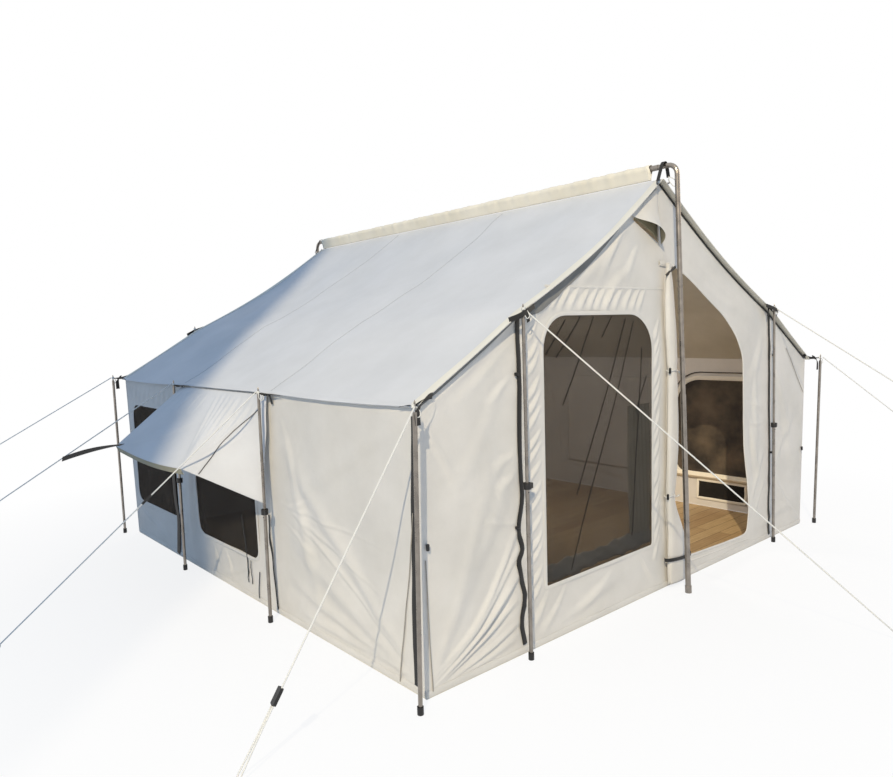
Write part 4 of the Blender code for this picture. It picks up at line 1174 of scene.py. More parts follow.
# %% [markdown]
# ## The window awning
#
# The awning is hinged under the left eave. Two ropes hold its outer edge up: it hangs
# nearly straight down at the front pole, is held out at its middle, and runs on to the
# far corner. Folds run from the held point up to the eave.

# %% Awning cloth and strap
AWNING_TOP = (Vector((-1.868, -0.60, 1.231)), Vector((-1.868, 0.60, 1.231)))
AWNING_LOW = Vector((-1.912, -0.582, 0.648))
AWNING_MID = Vector((-2.262, -0.385, 0.863))
AWNING_FAR = Vector((-2.343, 0.460, 0.909))
AWNING_MID_AT = 5.0 / 14.0
AWNING_STRAP_END = Vector((-2.549, 0.884, 0.811))
EDGE_DROOP = 0.022
AWNING_FOLDS = [
    (0.36, 1.0, 0.02, 0.05, 0.05, 0.012), (0.36, 1.0, 0.14, 0.02, 0.05, 0.012),
    (0.36, 1.0, 0.28, 0.02, 0.05, 0.012), (1.0, 1.0, 0.72, 0.02, 0.06, 0.01),
    (0.98, 1.0, 0.5, 0.4, 0.03, 0.005),
]
for step in range(8):
    top_u = 0.05 + 0.065 * step + 0.012 * math.sin(7.0 * step)
    AWNING_FOLDS.append((0.36, 1.0, top_u, 0.02, 0.011, 0.007))
for step in range(5):
    top_u = 0.6 + 0.08 * step
    AWNING_FOLDS.append((top_u + 0.03, 0.42, top_u, 0.02, 0.01, 0.004))


def awning_edge(t):
    """The free edge: straight where it hangs, drooping a little where it is out."""
    t = t[:, None]
    low, mid, far = (np.array(p) for p in (AWNING_LOW, AWNING_MID, AWNING_FAR))
    first = low + (mid - low) * t / AWNING_MID_AT
    s = (t - AWNING_MID_AT) / (1.0 - AWNING_MID_AT)
    droop = np.array((0.0, 0.0, -EDGE_DROOP)) * np.sin(np.pi * s)
    second = mid + (far - mid) * s + droop
    return np.where(t <= AWNING_MID_AT, first, second)


def awning_place(u, v, n):
    """A place on the awning: u from its front to its far end, v from the eave out."""
    top0, top1 = (np.array(p) for p in AWNING_TOP)
    top = top0 + (top1 - top0) * u[:, None]
    edge = awning_edge(u)
    rows = top + (edge - top) * v[:, None]
    along = awning_edge(np.clip(u + 0.01, 0.0, 1.0)) - awning_edge(np.clip(u - 0.01, 0.0, 1.0))
    along = along * v[:, None] + (top1 - top0) * 0.02 * (1.0 - v[:, None])
    normal = np.cross(along, edge - top)
    normal /= np.linalg.norm(normal, axis=1)[:, None]
    normal *= np.where(normal[:, :1] > 0.0, -1.0, 1.0)
    return (rows + normal * n[:, None]).T


def awning_relief(u, v):
    sag = 0.004 * np.sin(9.0 * u) * v * (1 - v)
    return fold_height(u, v, AWNING_FOLDS) * hold(v, 0.1) + sag


awning, a, b = grid_piece("awning_canvas", 150, 80)
write_uv(awning, a * 1.2, b * 0.6)
move_points(awning, *awning_place(a, b, awning_relief(a, b)))
thicken(awning, sharp=False)
finish_piece(awning, roof_finish)
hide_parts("awning")
print("awning:", len(awning.data.polygons), "faces")

# %% [markdown]
# ## Webbing and straps
#
# Black polypropylene webbing is about 25 mm wide and under 2 mm thick, with ribs across
# it every 2 mm or so, drawn here 3 mm apart. A strap is a grid laid along a path: at each
# point it needs to know which way its width points. The first one made with it is the
# awning's pull strap, which flies out flat and turns on edge towards its free end.

# %% The webbing finish and a strap along a path
def webbing_finish(name, low_hex, high_hex):
    material, shader = new_finish(name, high_hex, 0.62)
    place = add_node(material, "ShaderNodeUVMap", {"uv_map": "UVMap"}).outputs["UV"]
    ribs, cords = (
        add_node(
            material, "ShaderNodeTexWave", {"bands_direction": axis},
            {"Vector": place, "Scale": BAND_SPACING / spacing})
        for axis, spacing in (("X", 0.003), ("Y", 0.005)))
    raised = add_node(
        material, "ShaderNodeMath", {"operation": "MULTIPLY"},
        {0: ribs.outputs["Fac"], 1: cords.outputs["Fac"]}).outputs["Value"]
    tone = add_node(
        material, "ShaderNodeValToRGB", None, {"Fac": raised}, [(0.1, low_hex), (0.9, high_hex)])
    bump = add_node(
        material, "ShaderNodeBump", None, {"Height": raised, "Strength": 0.5, "Distance": 0.0006})
    return connect(material, shader, {
        "Base Color": tone.outputs["Color"], "Normal": bump.outputs["Normal"]})


webbing = webbing_finish("black_polypropylene_webbing", "#0B0B0C", "#232325")
WEBBING_THICKNESS = 0.0016


def strap(name, path, across, width, finish, thickness=WEBBING_THICKNESS):
    """A flat strap along a path; across is its width's direction, one or one a point."""
    path = [Vector(p) for p in path]
    if not isinstance(across, list):
        across = [across] * len(path)
    piece, a, b = grid_piece(name, len(path) - 1, 4)
    step = np.rint(a * (len(path) - 1)).astype(int)
    centre = np.array([tuple(p) for p in path])[step]
    aside = np.array([tuple(Vector(c).normalized()) for c in across])[step]
    rows = centre + aside * ((b - 0.5) * width)[:, None]
    write_uv(piece, run_along(path)[step], b * width)
    move_points(piece, *rows.T)
    thicken(piece, thickness)
    return finish_piece(piece, finish)


def curve_through(points, steps):
    """Points on a smooth curve through the given ones."""
    points = [Vector(p) for p in points]
    ends = [2.0 * points[0] - points[1]] + points + [2.0 * points[-1] - points[-2]]
    smooth = []
    for i in range(len(points) - 1):
        p0, p1, p2, p3 = ends[i:i + 4]
        for j in range(steps):
            t = j / steps
            smooth.append(0.5 * (
                2.0 * p1 + (p2 - p0) * t + (2.0 * p0 - 5.0 * p1 + 4.0 * p2 - p3) * t ** 2
                + (3.0 * p1 - p0 - 3.0 * p2 + p3) * t ** 3))
    return smooth + [points[-1]]


root = Vector(np.ravel(awning_place(
    np.array([0.965]), np.array([0.955]), np.array([0.004]))))
steps = np.linspace(0.0, 1.0, 16)
pull = [root.lerp(AWNING_STRAP_END, t) + Vector((0.0, 0.0, 0.012 * math.sin(math.pi * t)))
        for t in steps]
flat_way, upright_way = Vector((0.75, -0.55, 0.25)), Vector((0.25, 0.15, 1.0))
turned = [flat_way.lerp(upright_way, min(1.0, t / 0.7)) for t in steps]
strap("awning_pull_strap", pull, turned, 0.030, webbing, 0.0022)
print("strap:", round(float(run_along(pull)[-1]), 3), "m")

# %% [markdown]
# ## The rolled door leaf
#
# The door leaf is rolled up lengthwise beside the centre seam and tied twice. A roll is
# a spiral: the grid goes three turns round while its radius grows, so its layers show at
# the splayed foot. It narrows at the ties, and creases run along it.

# %% Roll the door leaf
# Each row is a height, the roll's middle there, its half width and its half depth.
ROLL_FOOT, ROLL_HEIGHT = 0.025, 1.855
ROLL_OFF_WALL = 0.033
ROLL = [
    (1.88, 0.005, 0.015, 0.010), (1.78, -0.002, 0.034, 0.018), (1.67, -0.010, 0.047, 0.023),
    (1.48, -0.013, 0.054, 0.026), (1.33, -0.012, 0.050, 0.025), (1.27, -0.014, 0.040, 0.021),
    (1.20, -0.012, 0.050, 0.025), (1.02, -0.008, 0.056, 0.027), (0.82, -0.008, 0.057, 0.027),
    (0.62, -0.020, 0.050, 0.025), (0.55, -0.028, 0.040, 0.021), (0.47, -0.012, 0.052, 0.025),
    (0.33, 0.030, 0.090, 0.026), (0.20, 0.062, 0.128, 0.025), (0.10, 0.070, 0.140, 0.023),
    (0.025, 0.075, 0.135, 0.018)]


def roll_at(z):
    """The roll's middle, half width and half depth at each height."""
    rows = np.array(sorted(ROLL))
    return [np.interp(z, rows[:, 0], rows[:, k]) for k in (1, 2, 3)]


roll, a, b = grid_piece("rolled_door_canvas", 72, 110)
z = ROLL_FOOT + b * ROLL_HEIGHT
middle, half_width, half_depth = roll_at(z)
turn = 2.0 * np.pi * 3.0 * a + 2.2
factor = 0.30 + 0.66 * a
splay = np.clip((0.42 - z) / 0.4, 0.0, 1.0)
crease = 1.0 + 0.055 * np.sin(3.0 * turn + 4.0 * z) + 0.045 * np.sin(7.0 * turn - 9.0 * z + 1.0)
crease += 0.05 * splay * np.sin(9.0 * turn + 5.0 * z)
factor = factor * np.minimum(1.06, crease)
write_uv(roll, a * 0.55, z)
move_points(
    roll, middle + half_width * factor * np.cos(turn),
    -gable_wall_y(z) - ROLL_OFF_WALL + half_depth * factor * np.sin(turn), z)
thicken(roll, sharp=False)
finish_piece(roll, wall_finish)
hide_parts("rolled_door")
print("roll:", len(roll.data.polygons), "faces")

# %% [markdown]
# ## The peak vent's hood
#
# A small flap hangs over the peak vent and bulges away from it. Its free edge is an arch,
# so its inside shows below, coloured olive-brown as painted shade. It can be lifted, so it
# rides on its own body.

# %% The hood
HOOD_LEFT, HOOD_RIGHT = (-0.295, 2.128), (-0.02, 2.305)
HOOD_FOOT_Z = 1.985


def hood_place(s, t, n):
    """A place on the hood: s along its upper edge, t from there down to its free edge."""
    (left_x, left_z), (right_x, right_z) = HOOD_LEFT, HOOD_RIGHT
    arch = np.sin(np.pi * s ** 1.5)
    top = left_z + (right_z - left_z) * s
    low = left_z + (HOOD_FOOT_Z - left_z) * s + 0.018 * np.sin(np.pi * s)
    z = top + (low - top) * t
    out = 0.008 + 0.085 * arch * t ** 1.3 + n
    return left_x + (right_x - left_x) * s, -gable_wall_y(z) - out, z


# Olive-brown painted shade, for canvas seen in the shadow under the hood.
olive_shade_finish = canvas_finish("olive_painted_shade", "#8F8970", "#A6A088", 0.2)
hood, a, b = grid_piece("peak_vent_hood", 30, 20)
write_uv(hood, a * 0.33, b * 0.3)
move_points(hood, *hood_place(1.0 - a, b, 0.003 * np.sin(14.0 * a) * b))
finish_piece(hood, wall_finish, "peak_vent_flap")
hood.data.materials.append(olive_shade_finish)
thicken(hood, sharp=False, material_offset=1)
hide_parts("peak_vent_flap")
print("hood:", len(hood.data.polygons), "faces")

# %% [markdown]
# ## Galvanised steel and black plastic
#
# Drawn steel tube has fine lines along it and dull zinc patches. Moulded plastic has a
# pebbled skin, and scuffs make it shinier in some places than in others.

# %% Finishes for steel and plastic
def metal_finish(name, low_hex, high_hex, roughness):
    material, shader = new_finish(name, high_hex, roughness, 1.0)
    place = add_node(material, "ShaderNodeTexCoord").outputs["Object"]
    spangle = add_node(
        material, "ShaderNodeTexNoise", None,
        {"Vector": place, "Scale": 18.0, "Detail": 4.0}).outputs["Fac"]
    tone = add_node(
        material, "ShaderNodeValToRGB", None, {"Fac": spangle}, [(0.3, low_hex), (0.7, high_hex)])
    dull = add_node(
        material, "ShaderNodeMapRange", None,
        {"Value": spangle, "To Min": roughness - 0.1, "To Max": roughness + 0.12})
    stretched = add_node(
        material, "ShaderNodeMapping", None, {"Vector": place, "Scale": (260.0, 260.0, 6.0)})
    drawn_lines = add_node(
        material, "ShaderNodeTexNoise", None,
        {"Vector": stretched.outputs["Vector"], "Scale": 1.0, "Detail": 2.0})
    bump = add_node(
        material, "ShaderNodeBump", None,
        {"Height": drawn_lines.outputs["Fac"], "Strength": 0.12, "Distance": 0.0004})
    return connect(material, shader, {
        "Base Color": tone.outputs["Color"], "Roughness": dull.outputs["Result"],
        "Normal": bump.outputs["Normal"]})


def plastic_finish(name, hex_colour, roughness):
    material, shader = new_finish(name, hex_colour, roughness)
    place = add_node(material, "ShaderNodeTexCoord").outputs["Object"]
    pebbles = add_node(
        material, "ShaderNodeTexNoise", None, {"Vector": place, "Scale": 900.0, "Detail": 2.0})
    scuffs = add_node(
        material, "ShaderNodeTexNoise", None, {"Vector": place, "Scale": 40.0, "Detail": 5.0})
    dull = add_node(
        material, "ShaderNodeMapRange", None,
        {"Value": scuffs.outputs["Fac"], "To Min": roughness - 0.12, "To Max": roughness + 0.15})
    bump = add_node(
        material, "ShaderNodeBump", None,
        {"Height": pebbles.outputs["Fac"], "Strength": 0.2, "Distance": 0.0003})
    return connect(material, shader, {
        "Roughness": dull.outputs["Result"], "Normal": bump.outputs["Normal"]})


steel_finish = metal_finish("galvanised_steel_tube", "#7F7973", "#9C958D", 0.28)
black_plastic = plastic_finish("black_moulded_nylon", "#141416", 0.45)
print("hard finishes:", steel_finish.name, black_plastic.name)

# %% [markdown]
# ## The plank floor and the CAD's own parts
#
# The floor is softwood planks 95 mm wide with grain along them. It keeps the CAD's shape,
# as poles, spring buttons and rope links do, so these only get a better finish.

# %% Planks, poles, buttons and links
PLANK_LENGTH, PLANK_WIDTH, PLANK_GAP = 1.2, 0.095, 0.0022
FLAP_THICKNESS = 0.006


def plank_finish(name, low_hex, high_hex, gap_hex):
    material, shader = new_finish(name, high_hex, 0.55)
    place = add_node(material, "ShaderNodeTexCoord").outputs["Object"]
    planks = add_node(
        material, "ShaderNodeTexBrick", {"offset": 0.37},
        {"Vector": place, "Color1": linear(low_hex), "Color2": linear(high_hex),
         "Mortar": linear(gap_hex), "Scale": 1.0, "Mortar Size": PLANK_GAP, "Bias": 0.1,
         "Brick Width": PLANK_LENGTH, "Row Height": PLANK_WIDTH})
    stretched = add_node(
        material, "ShaderNodeMapping", None, {"Vector": place, "Scale": (2.0, 34.0, 1.0)})
    grain = add_node(
        material, "ShaderNodeTexNoise", None,
        {"Vector": stretched.outputs["Vector"], "Scale": 3.0, "Detail": 8.0, "Roughness": 0.65})
    tone = add_node(
        material, "ShaderNodeValToRGB", None, {"Fac": grain.outputs["Fac"]},
        [(0.3, "#B09A78"), (0.6, "#FFFFFF")])
    tint = add_node(
        material, "ShaderNodeMix", {"data_type": "RGBA", "blend_type": "MULTIPLY"},
        {"Factor": 0.55, "A": planks.outputs["Color"], "B": tone.outputs["Color"]})
    # The floor's edge is wrapped in the wall's mud flap, so its sides are cloth-coloured.
    reach = add_node(material, "ShaderNodeVectorMath", {"operation": "ABSOLUTE"}, {0: place})
    parts = add_node(
        material, "ShaderNodeSeparateXYZ", None, {"Vector": reach.outputs["Vector"]})
    widest = add_node(
        material, "ShaderNodeMath", {"operation": "MAXIMUM"},
        {0: parts.outputs["X"], 1: parts.outputs["Y"]})
    at_edge = add_node(
        material, "ShaderNodeMath", {"operation": "GREATER_THAN"},
        {0: widest.outputs["Value"], 1: WALL_HALF - FLAP_THICKNESS})
    wrapped = add_node(
        material, "ShaderNodeMix", {"data_type": "RGBA"},
        {"Factor": at_edge.outputs["Value"], "A": tint.outputs["Result"],
         "B": linear("#D9D4C8")})
    bump = add_node(
        material, "ShaderNodeBump", None,
        {"Height": planks.outputs["Fac"], "Strength": 0.4, "Distance": 0.001})
    return connect(material, shader, {
        "Base Color": wrapped.outputs["Result"], "Normal": bump.outputs["Normal"]})


plank_floor = plank_finish("light_softwood_planks", "#A98C66", "#C4AA80", "#665038")
STEEL_NODES = [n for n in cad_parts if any(
    part in n for part in ("_lower", "_upper", "corner_pole", "ridge_pole"))]
for name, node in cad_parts.items():
    finish = None
    if name in STEEL_NODES:
        finish = steel_finish
    elif name.endswith("_button") or name.startswith("rope_link"):
        finish = black_plastic
    elif name == "floor":
        finish = plank_floor
    if finish:
        node.data.materials.clear()
        node.data.materials.append(finish)
print("steel nodes:", len(STEEL_NODES))

# %% [markdown]
# ## Webbing on the walls
#
# Black webbing runs down the gables beside the poles and down the corner. It is laced
# to the wall, so it wavers a little: the places below were read off the picture on the
# wall's own plane. A loose strap hangs by the side pole, and short ties hang below the
# middle window.

# %% Strips, straps and ties
def wavering(points, steps=5):
    """A smooth flat path through flat points."""
    return [(p.x, p.y) for p in curve_through([(u, v, 0.0) for u, v in points], steps)]


LEFT_STRIP = [
    (-1.234, 1.587), (-1.247, 1.339), (-1.255, 0.989), (-1.238, 0.768), (-1.266, 0.619),
    (-1.241, 0.518), (-1.267, 0.445), (-1.222, 0.289), (-1.246, 0.16), (-1.228, 0.05)]
RIGHT_STRIP = [
    (1.278, 1.597), (1.262, 1.30), (1.266, 0.992), (1.282, 0.72), (1.288, 0.497), (1.296, 0.25),
    (1.31, 0.03)]
CORNER_STRIP = [
    (-1.822, 1.20), (-1.808, 0.85), (-1.795, 0.60), (-1.780, 0.33), (-1.772, 0.04)]
for name, surface, places, width in (
        ("front_left_webbing", "front", LEFT_STRIP, 0.027),
        ("front_right_webbing", "front", RIGHT_STRIP, 0.025),
        ("rear_left_webbing", "rear", [(-u, v) for u, v in RIGHT_STRIP], 0.025),
        ("rear_right_webbing", "rear", [(-u, v) for u, v in LEFT_STRIP], 0.025),
        ("left_corner_webbing", "left", CORNER_STRIP, 0.036)):
    band(name, surface, wavering(places), width, webbing, lift=0.005)
for name, width, places in (
        ("loose_webbing", 0.050,
         [(0.90, 0.62), (0.905, 0.45), (0.895, 0.30), (0.93, 0.13), (0.95, 0.02)]),
        ("second_webbing", 0.012, [(-0.50, 0.56), (-0.508, 0.40), (-0.520, 0.22), (-0.545, 0.03)]),
        ("window_tie_rear", 0.010, [(-0.158, 0.50), (-0.170, 0.36), (-0.185, 0.24), (-0.20, 0.10)]),
        ("window_tie_front", 0.006,
         [(-0.351, 0.197), (-0.340, 0.14), (-0.330, 0.09), (-0.326, 0.036)]),
        ("window_tie_middle", 0.005, [(-0.24, 0.24), (-0.235, 0.17), (-0.25, 0.10)])):
    band(name, "left", wavering(places), width, webbing, lift=0.008)
# The line on the left wall beside the corner pole is painted shadow, drawn as a thin grey cord.
for name, surface, places in (
        ("corner_shadow_line_left", "left",
         [(-1.80, 0.80), (-1.76, 0.55), (-1.724, 0.36), (-1.655, 0.02)]),
        ("corner_cord_front", "front", [(-1.823, 0.60), (-1.812, 0.30), (-1.800, 0.03)]),
        ("front_right_brace_cord", "front", [(1.517, 1.34), (1.70, 1.15), (1.82, 1.0)])):
    band(name, surface, wavering(places), 0.004, tie_finish, lift=0.006)
print("webbing laid")

# %% [markdown]
# ## Edges of the roof, seen from the front
#
# Under the left slope's white hem a grey band is painted on the wall: painted shadow
# of the roof's overhang. It is widest at the gable pole and runs out at the vent. Under the
# right slope a black piping closes the wall.

# %% Painted eave shadow and piping
UNDER_ROOF = 0.012
eave_shadow_x = np.linspace(-1.84, -0.36, 60)
eave_shadow_width = np.interp(
    eave_shadow_x, [-1.84, -1.26, -1.10, -0.65, -0.36], [0.012, 0.018, 0.058, 0.036, 0.006])
eave_shadow_path = [
    (x, float(roof_z(x)) - UNDER_ROOF - w / 2.0) for x, w in zip(eave_shadow_x, eave_shadow_width)]
band(
    "front_wall_eave_shadow_band", "front", eave_shadow_path, eave_shadow_width, eave_shadow_finish,
    lift=0.004, crown=0.0)
piping_x = np.linspace(-0.33, 1.82, 90)
piping_finish = plastic_finish("black_vinyl_piping", "#101011", 0.5)
for end, sy in ENDS:
    line = line_on(end, -sy * piping_x, roof_z(piping_x) - UNDER_ROOF, 0.006)
    finish_piece(tube(f"{end}_piping", line, 0.0052, 6), piping_finish)
print("gable edges done")

# %% [markdown]
# ## Pole hardware
#
# Each sliding pole has a black clamp sleeve with a lever, and each foot a black cap. A
# sleeve starts as a circle that is extruded, thickened and bevelled in edit mode, so it
# leaves room for the tube that slides through it.

# %% A ring and a block
HARD_EDGE_ANGLE = math.radians(40.0)


def set_down(piece, place):
    """Move a piece's points to their place and smooth all but its edges."""
    move_points(piece, *(points_of(piece) + np.array(tuple(place))).T)
    piece.data.shade_smooth()
    piece.data.set_sharp_from_angle(angle=HARD_EDGE_ANGLE)


def sleeve_ring(name, place, inner, wall, height):
    """A short hollow ring round a tube, with softened edges."""
    bpy.ops.mesh.primitive_circle_add(vertices=28, radius=inner, location=(0.0, 0.0, 0.0))
    ring = bpy.context.object
    ring.name = ring.data.name = name
    bpy.ops.object.mode_set(mode="EDIT")
    bpy.ops.mesh.select_all(action="SELECT")
    bpy.ops.mesh.extrude_region_move(TRANSFORM_OT_translate={"value": (0.0, 0.0, height)})
    bpy.ops.mesh.select_all(action="SELECT")
    bpy.ops.mesh.normals_make_consistent(inside=False)
    bpy.ops.object.mode_set(mode="OBJECT")
    apply_modifier(ring, "SOLIDIFY", "wall", thickness=wall, offset=1.0)
    apply_modifier(ring, "BEVEL", "edges", width=wall * 0.3, segments=2, limit_method="ANGLE")
    set_down(ring, place)
    return finish_piece(ring, black_plastic)


def block(name, centre, size, finish, edge=0.0015):
    """A small moulded block: a cube that is resized and bevelled in edit mode."""
    bpy.ops.mesh.primitive_cube_add(size=1.0)
    piece = bpy.context.object
    piece.name = piece.data.name = name
    bpy.ops.object.mode_set(mode="EDIT")
    bpy.ops.mesh.select_all(action="SELECT")
    bpy.ops.transform.resize(value=size)
    bpy.ops.mesh.bevel(offset=edge, segments=2, affect="EDGES")
    bpy.ops.object.mode_set(mode="OBJECT")
    set_down(piece, centre)
    return finish_piece(piece, finish)


print("hardware helpers ready")

# %% [markdown]
# ## Clamps and foot caps
#
# A clamp sits round the top of each sliding pole's lower tube, with its lever beside it.
# It stays on the tent, and the upper tube slides through it. The corner poles are in one
# piece, so they have only the cap on the foot.

# %% Clamps on the sliding poles, caps on all feet
FRAME_X = 1.92
GABLE_POLE_Y = 1.893
CORNER_POLE_Y = 1.90
SIDE_CLAMP_Z, GABLE_CLAMP_Z = 0.62, 0.833
sliding = {}
for side, sx in SIDES:
    for end, sy in ENDS:
        sliding[f"{side}_side_{end}"] = (sx * FRAME_X, sy * SIDE_POLE_Y, SIDE_CLAMP_Z)
for end, sy in ENDS:
    for side, sx in SIDES:
        sliding[f"gable_{end}_{side}"] = (sx * GABLE_POLE_X, sy * GABLE_POLE_Y, GABLE_CLAMP_Z)
for name, (x, y, top) in sliding.items():
    sleeve_ring(f"{name}_clamp", (x, y, top - 0.026), 0.0149, 0.0042, 0.030)
    away = math.copysign(1.0, y)
    if name.startswith("gable"):
        aside, size = (0.020, 0.006 * away), (0.016, 0.012, 0.026)
    else:
        aside, size = (math.copysign(0.006, x), 0.020 * away), (0.012, 0.016, 0.026)
    block(
        f"{name}_clamp_lever", (x + aside[0], y + aside[1], top - 0.011), size, black_plastic)
feet = {name: (x, y) for name, (x, y, _) in sliding.items()}
for end, sy in ENDS:
    for side, sx in SIDES:
        feet[f"corner_pole_{end}_{side}"] = (sx * FRAME_X, sy * CORNER_POLE_Y)
for name, (x, y) in feet.items():
    sleeve_ring(f"{name}_foot_cap", (x, y, 0.001), 0.0126, 0.0010, 0.034)
print("hardware:", len(sliding), "clamps", len(feet), "foot caps")

# %% [markdown]
# ## Pole tops
#
# At every pole a triangle of webbing is sewn to the roof's edge, and its tip goes over
# the pole's spike. Above it white cord is wound round the spike, and a loop of it hangs
# out. A grid that narrows to its tip makes the triangle, and a tube makes the cord.

# %% Knots, loops and tabs at the pole tops
TIE_CORD_R = 0.0026


def winding(name, centre, radius, turns, rise):
    """Cord wound round an upright spike."""
    path = []
    for i in range(int(turns * 10) + 1):
        turn = 2.0 * math.pi * i / 10.0
        path.append(Vector(centre) + Vector((
            radius * math.cos(turn), radius * math.sin(turn), rise * i / (turns * 10.0))))
    return finish_piece(tube(name, path, TIE_CORD_R, 6), rope_finish)


def cord_loop(name, points):
    return finish_piece(tube(name, curve_through(points, 6), 0.0022, 6), rope_finish)


def eave_tab(name, apex, base_start, base_end, drop):
    """A triangle of webbing from the eave to the spike, with a hanging leg."""
    piece, a, b = grid_piece(name, 10, 6)
    first, last, top = (np.array(p) for p in (base_start, base_end, apex))
    narrow = 0.5 + (a[:, None] - 0.5) * (1.0 - b[:, None]) ** 1.6
    rows = (first + (last - first) * narrow) * (1.0 - b[:, None]) + (
        top + (last - first) * 0.06 * (a[:, None] - 0.5)) * b[:, None]
    rows[:, 2] -= 0.012 * np.sin(np.pi * b) * (1.0 - np.abs(2.0 * a - 1.0))
    write_uv(piece, a * np.linalg.norm(last - first), b * 0.07)
    move_points(piece, *rows.T)
    thicken(piece, WEBBING_THICKNESS, sharp=False)
    finish_piece(piece, webbing)
    leg_top = (Vector(base_start) + Vector(base_end)) / 2.0
    leg = [leg_top + Vector(drop) * t for t in (0.0, 0.35, 0.7, 1.0)]
    aside = (Vector(base_end) - Vector(base_start)).normalized()
    strap(f"{name}_leg", leg, aside, 0.020, webbing)


# Each tab is its tip at the spike and its base's two ends at the roof's edge.
EAVE_TABS = {
    "left_front": ((-1.922, -0.612, 1.248), (-1.872, -0.76, 1.236), (-1.872, -0.52, 1.240)),
    "left_rear": ((-1.922, 0.612, 1.248), (-1.872, 0.455, 1.239), (-1.872, 0.737, 1.237)),
    "right_front": ((1.922, -0.612, 1.248), (1.872, -0.52, 1.240), (1.872, -0.76, 1.236)),
    "right_rear": ((1.922, 0.612, 1.248), (1.872, 0.737, 1.237), (1.872, 0.455, 1.239)),
    "corner_front_left": ((-1.922, -1.928, 1.252), (-1.874, -1.77, 1.236), (-1.78, -1.882, 1.285)),
    "corner_rear_left": ((-1.922, 1.928, 1.252), (-1.78, 1.882, 1.285), (-1.874, 1.77, 1.236)),
    "corner_front_right": ((1.922, -1.928, 1.252), (1.78, -1.882, 1.285), (1.874, -1.77, 1.236)),
    "corner_rear_right": ((1.922, 1.928, 1.252), (1.874, 1.77, 1.236), (1.78, 1.882, 1.285)),
    "gable_front_left": ((-1.25, -1.895, 1.625), (-1.275, -1.872, 1.592), (-1.137, -1.876, 1.655)),
    "gable_front_right": ((1.25, -1.895, 1.625), (1.137, -1.876, 1.655), (1.275, -1.872, 1.592)),
    "gable_rear_left": ((-1.25, 1.895, 1.625), (-1.137, 1.876, 1.655), (-1.275, 1.872, 1.592)),
    "gable_rear_right": ((1.25, 1.895, 1.625), (1.275, 1.872, 1.592), (1.137, 1.876, 1.655))}
LOOP = ((0.0, 0.0, 0.0), (0.016, 0.010, -0.012), (0.024, 0.014, -0.034),
        (0.012, 0.012, -0.046), (-0.002, 0.010, -0.030), (0.0, 0.006, -0.006))
for name, (apex, base_start, base_end) in EAVE_TABS.items():
    drop = (-0.012 * math.copysign(1.0, apex[0]), 0.0, -0.055)
    eave_tab(f"{name}_tab", apex, base_start, base_end, drop)
    winding(f"{name}_knot", (apex[0], apex[1], apex[2] - 0.004), 0.0072, 3.0, 0.012)
    out = math.copysign(1.0, apex[1])
    start = Vector(apex) + Vector((0.0, 0.0, 0.004))
    cord_loop(f"{name}_loop", [start + Vector((x, y * out, z)) for x, y, z in LOOP])
print("tabs:", len(EAVE_TABS))

# %% [markdown]
# ## Wrapped straps
#
# A strap of the same webbing goes round each eave corner and round the top of each gable
# pole. Its places are listed once and mirrored. It turns as it goes, so the direction of
# its width turns too.

# %% Straps that wrap the corners and the gable poles' tops
CORNER_WRAP = [
    (1.868, 1.896, 1.262), (1.886, 1.914, 1.249), (1.892, 1.924, 1.222), (1.891, 1.924, 1.165)]
# The front left corner's strap is the one that is seen, and it starts on the gable.
SEEN_WRAP = [
    (1.795, 1.893, 1.283), (1.835, 1.918, 1.283), (1.870, 1.932, 1.273),
    (1.902, 1.9395, 1.252), (1.914, 1.9405, 1.222), (1.911, 1.9405, 1.178)]
GABLE_WRAP = [
    (1.325, 1.876, 1.578), (1.285, 1.899, 1.594), (1.25, 1.9065, 1.610), (1.21, 1.899, 1.624),
    (1.160, 1.880, 1.641)]
for end, sy in ENDS:
    for side, sx in SIDES:
        places = SEEN_WRAP if (end, side) == ("front", "left") else CORNER_WRAP
        wrap = curve_through([(sx * x, sy * y, z) for x, y, z in places], 4)
        across = [Vector((sx * -0.2 - sx * 0.8 * t, 0.0, 1.0 - 0.98 * t)).normalized()
                  for t in np.linspace(0.0, 1.0, len(wrap)).tolist()]
        strap(f"corner_wrap_{end}_{side}", wrap, across, 0.026, webbing)
        wrap = curve_through([(sx * x, sy * y, z) for x, y, z in GABLE_WRAP], 4)
        strap(
            f"gable_wrap_{end}_{side}", wrap, Vector((sx * 0.36, 0.0, 1.0)), 0.024, webbing)
print("pole tops done")

# %% [markdown]
# ## Toggles, ties and the door's hardware
#
# Small black toggles hold the webbing and the rolled leaf. The leaf's two ties are white
# cord and end in a slider, and a black strap binds its foot.

# %% Toggles and ties
TOGGLE_LENGTH, TOGGLE_EDGE = 0.030, 0.004


def toggle(name, surface, u, v, lift=0.012, upright=True):
    """A barrel toggle on the wall, upright or lying across it."""
    place, = line_on(surface, np.array([u]), np.array([v]), lift)
    size = (0.013, 0.013, TOGGLE_LENGTH) if upright else (0.7 * TOGGLE_LENGTH, 0.013, 0.016)
    return block(name, place, size, black_plastic, edge=TOGGLE_EDGE)


for name, surface, u, v, upright in (
        ("front_left_toggle_high", "front", -1.270, 1.334, False),
        ("front_left_toggle_low", "front", -1.284, 0.627, False),
        ("front_right_toggle_high", "front", 1.300, 1.30, False),
        ("front_right_toggle_low", "front", 1.305, 0.62, False),
        ("corner_toggle", "front", -1.815, 0.655, True),
        ("corner_toggle_right", "front", 1.79, 0.583, True),
        ("rear_left_toggle", "rear", -1.300, 0.90, False),
        ("rear_right_toggle", "rear", 1.300, 0.90, False)):
    toggle(name, surface, u, v, upright=upright)


def roll_surface(z, turn, extra):
    """A place a little off the rolled leaf's outside, at a height and a turn round it."""
    middle, half_width, half_depth = (float(v) for v in roll_at(z))
    back = -float(gable_wall_y(z)) - ROLL_OFF_WALL
    return Vector((
        middle + (half_width + extra) * math.cos(turn),
        back + (half_depth + extra) * math.sin(turn), z))


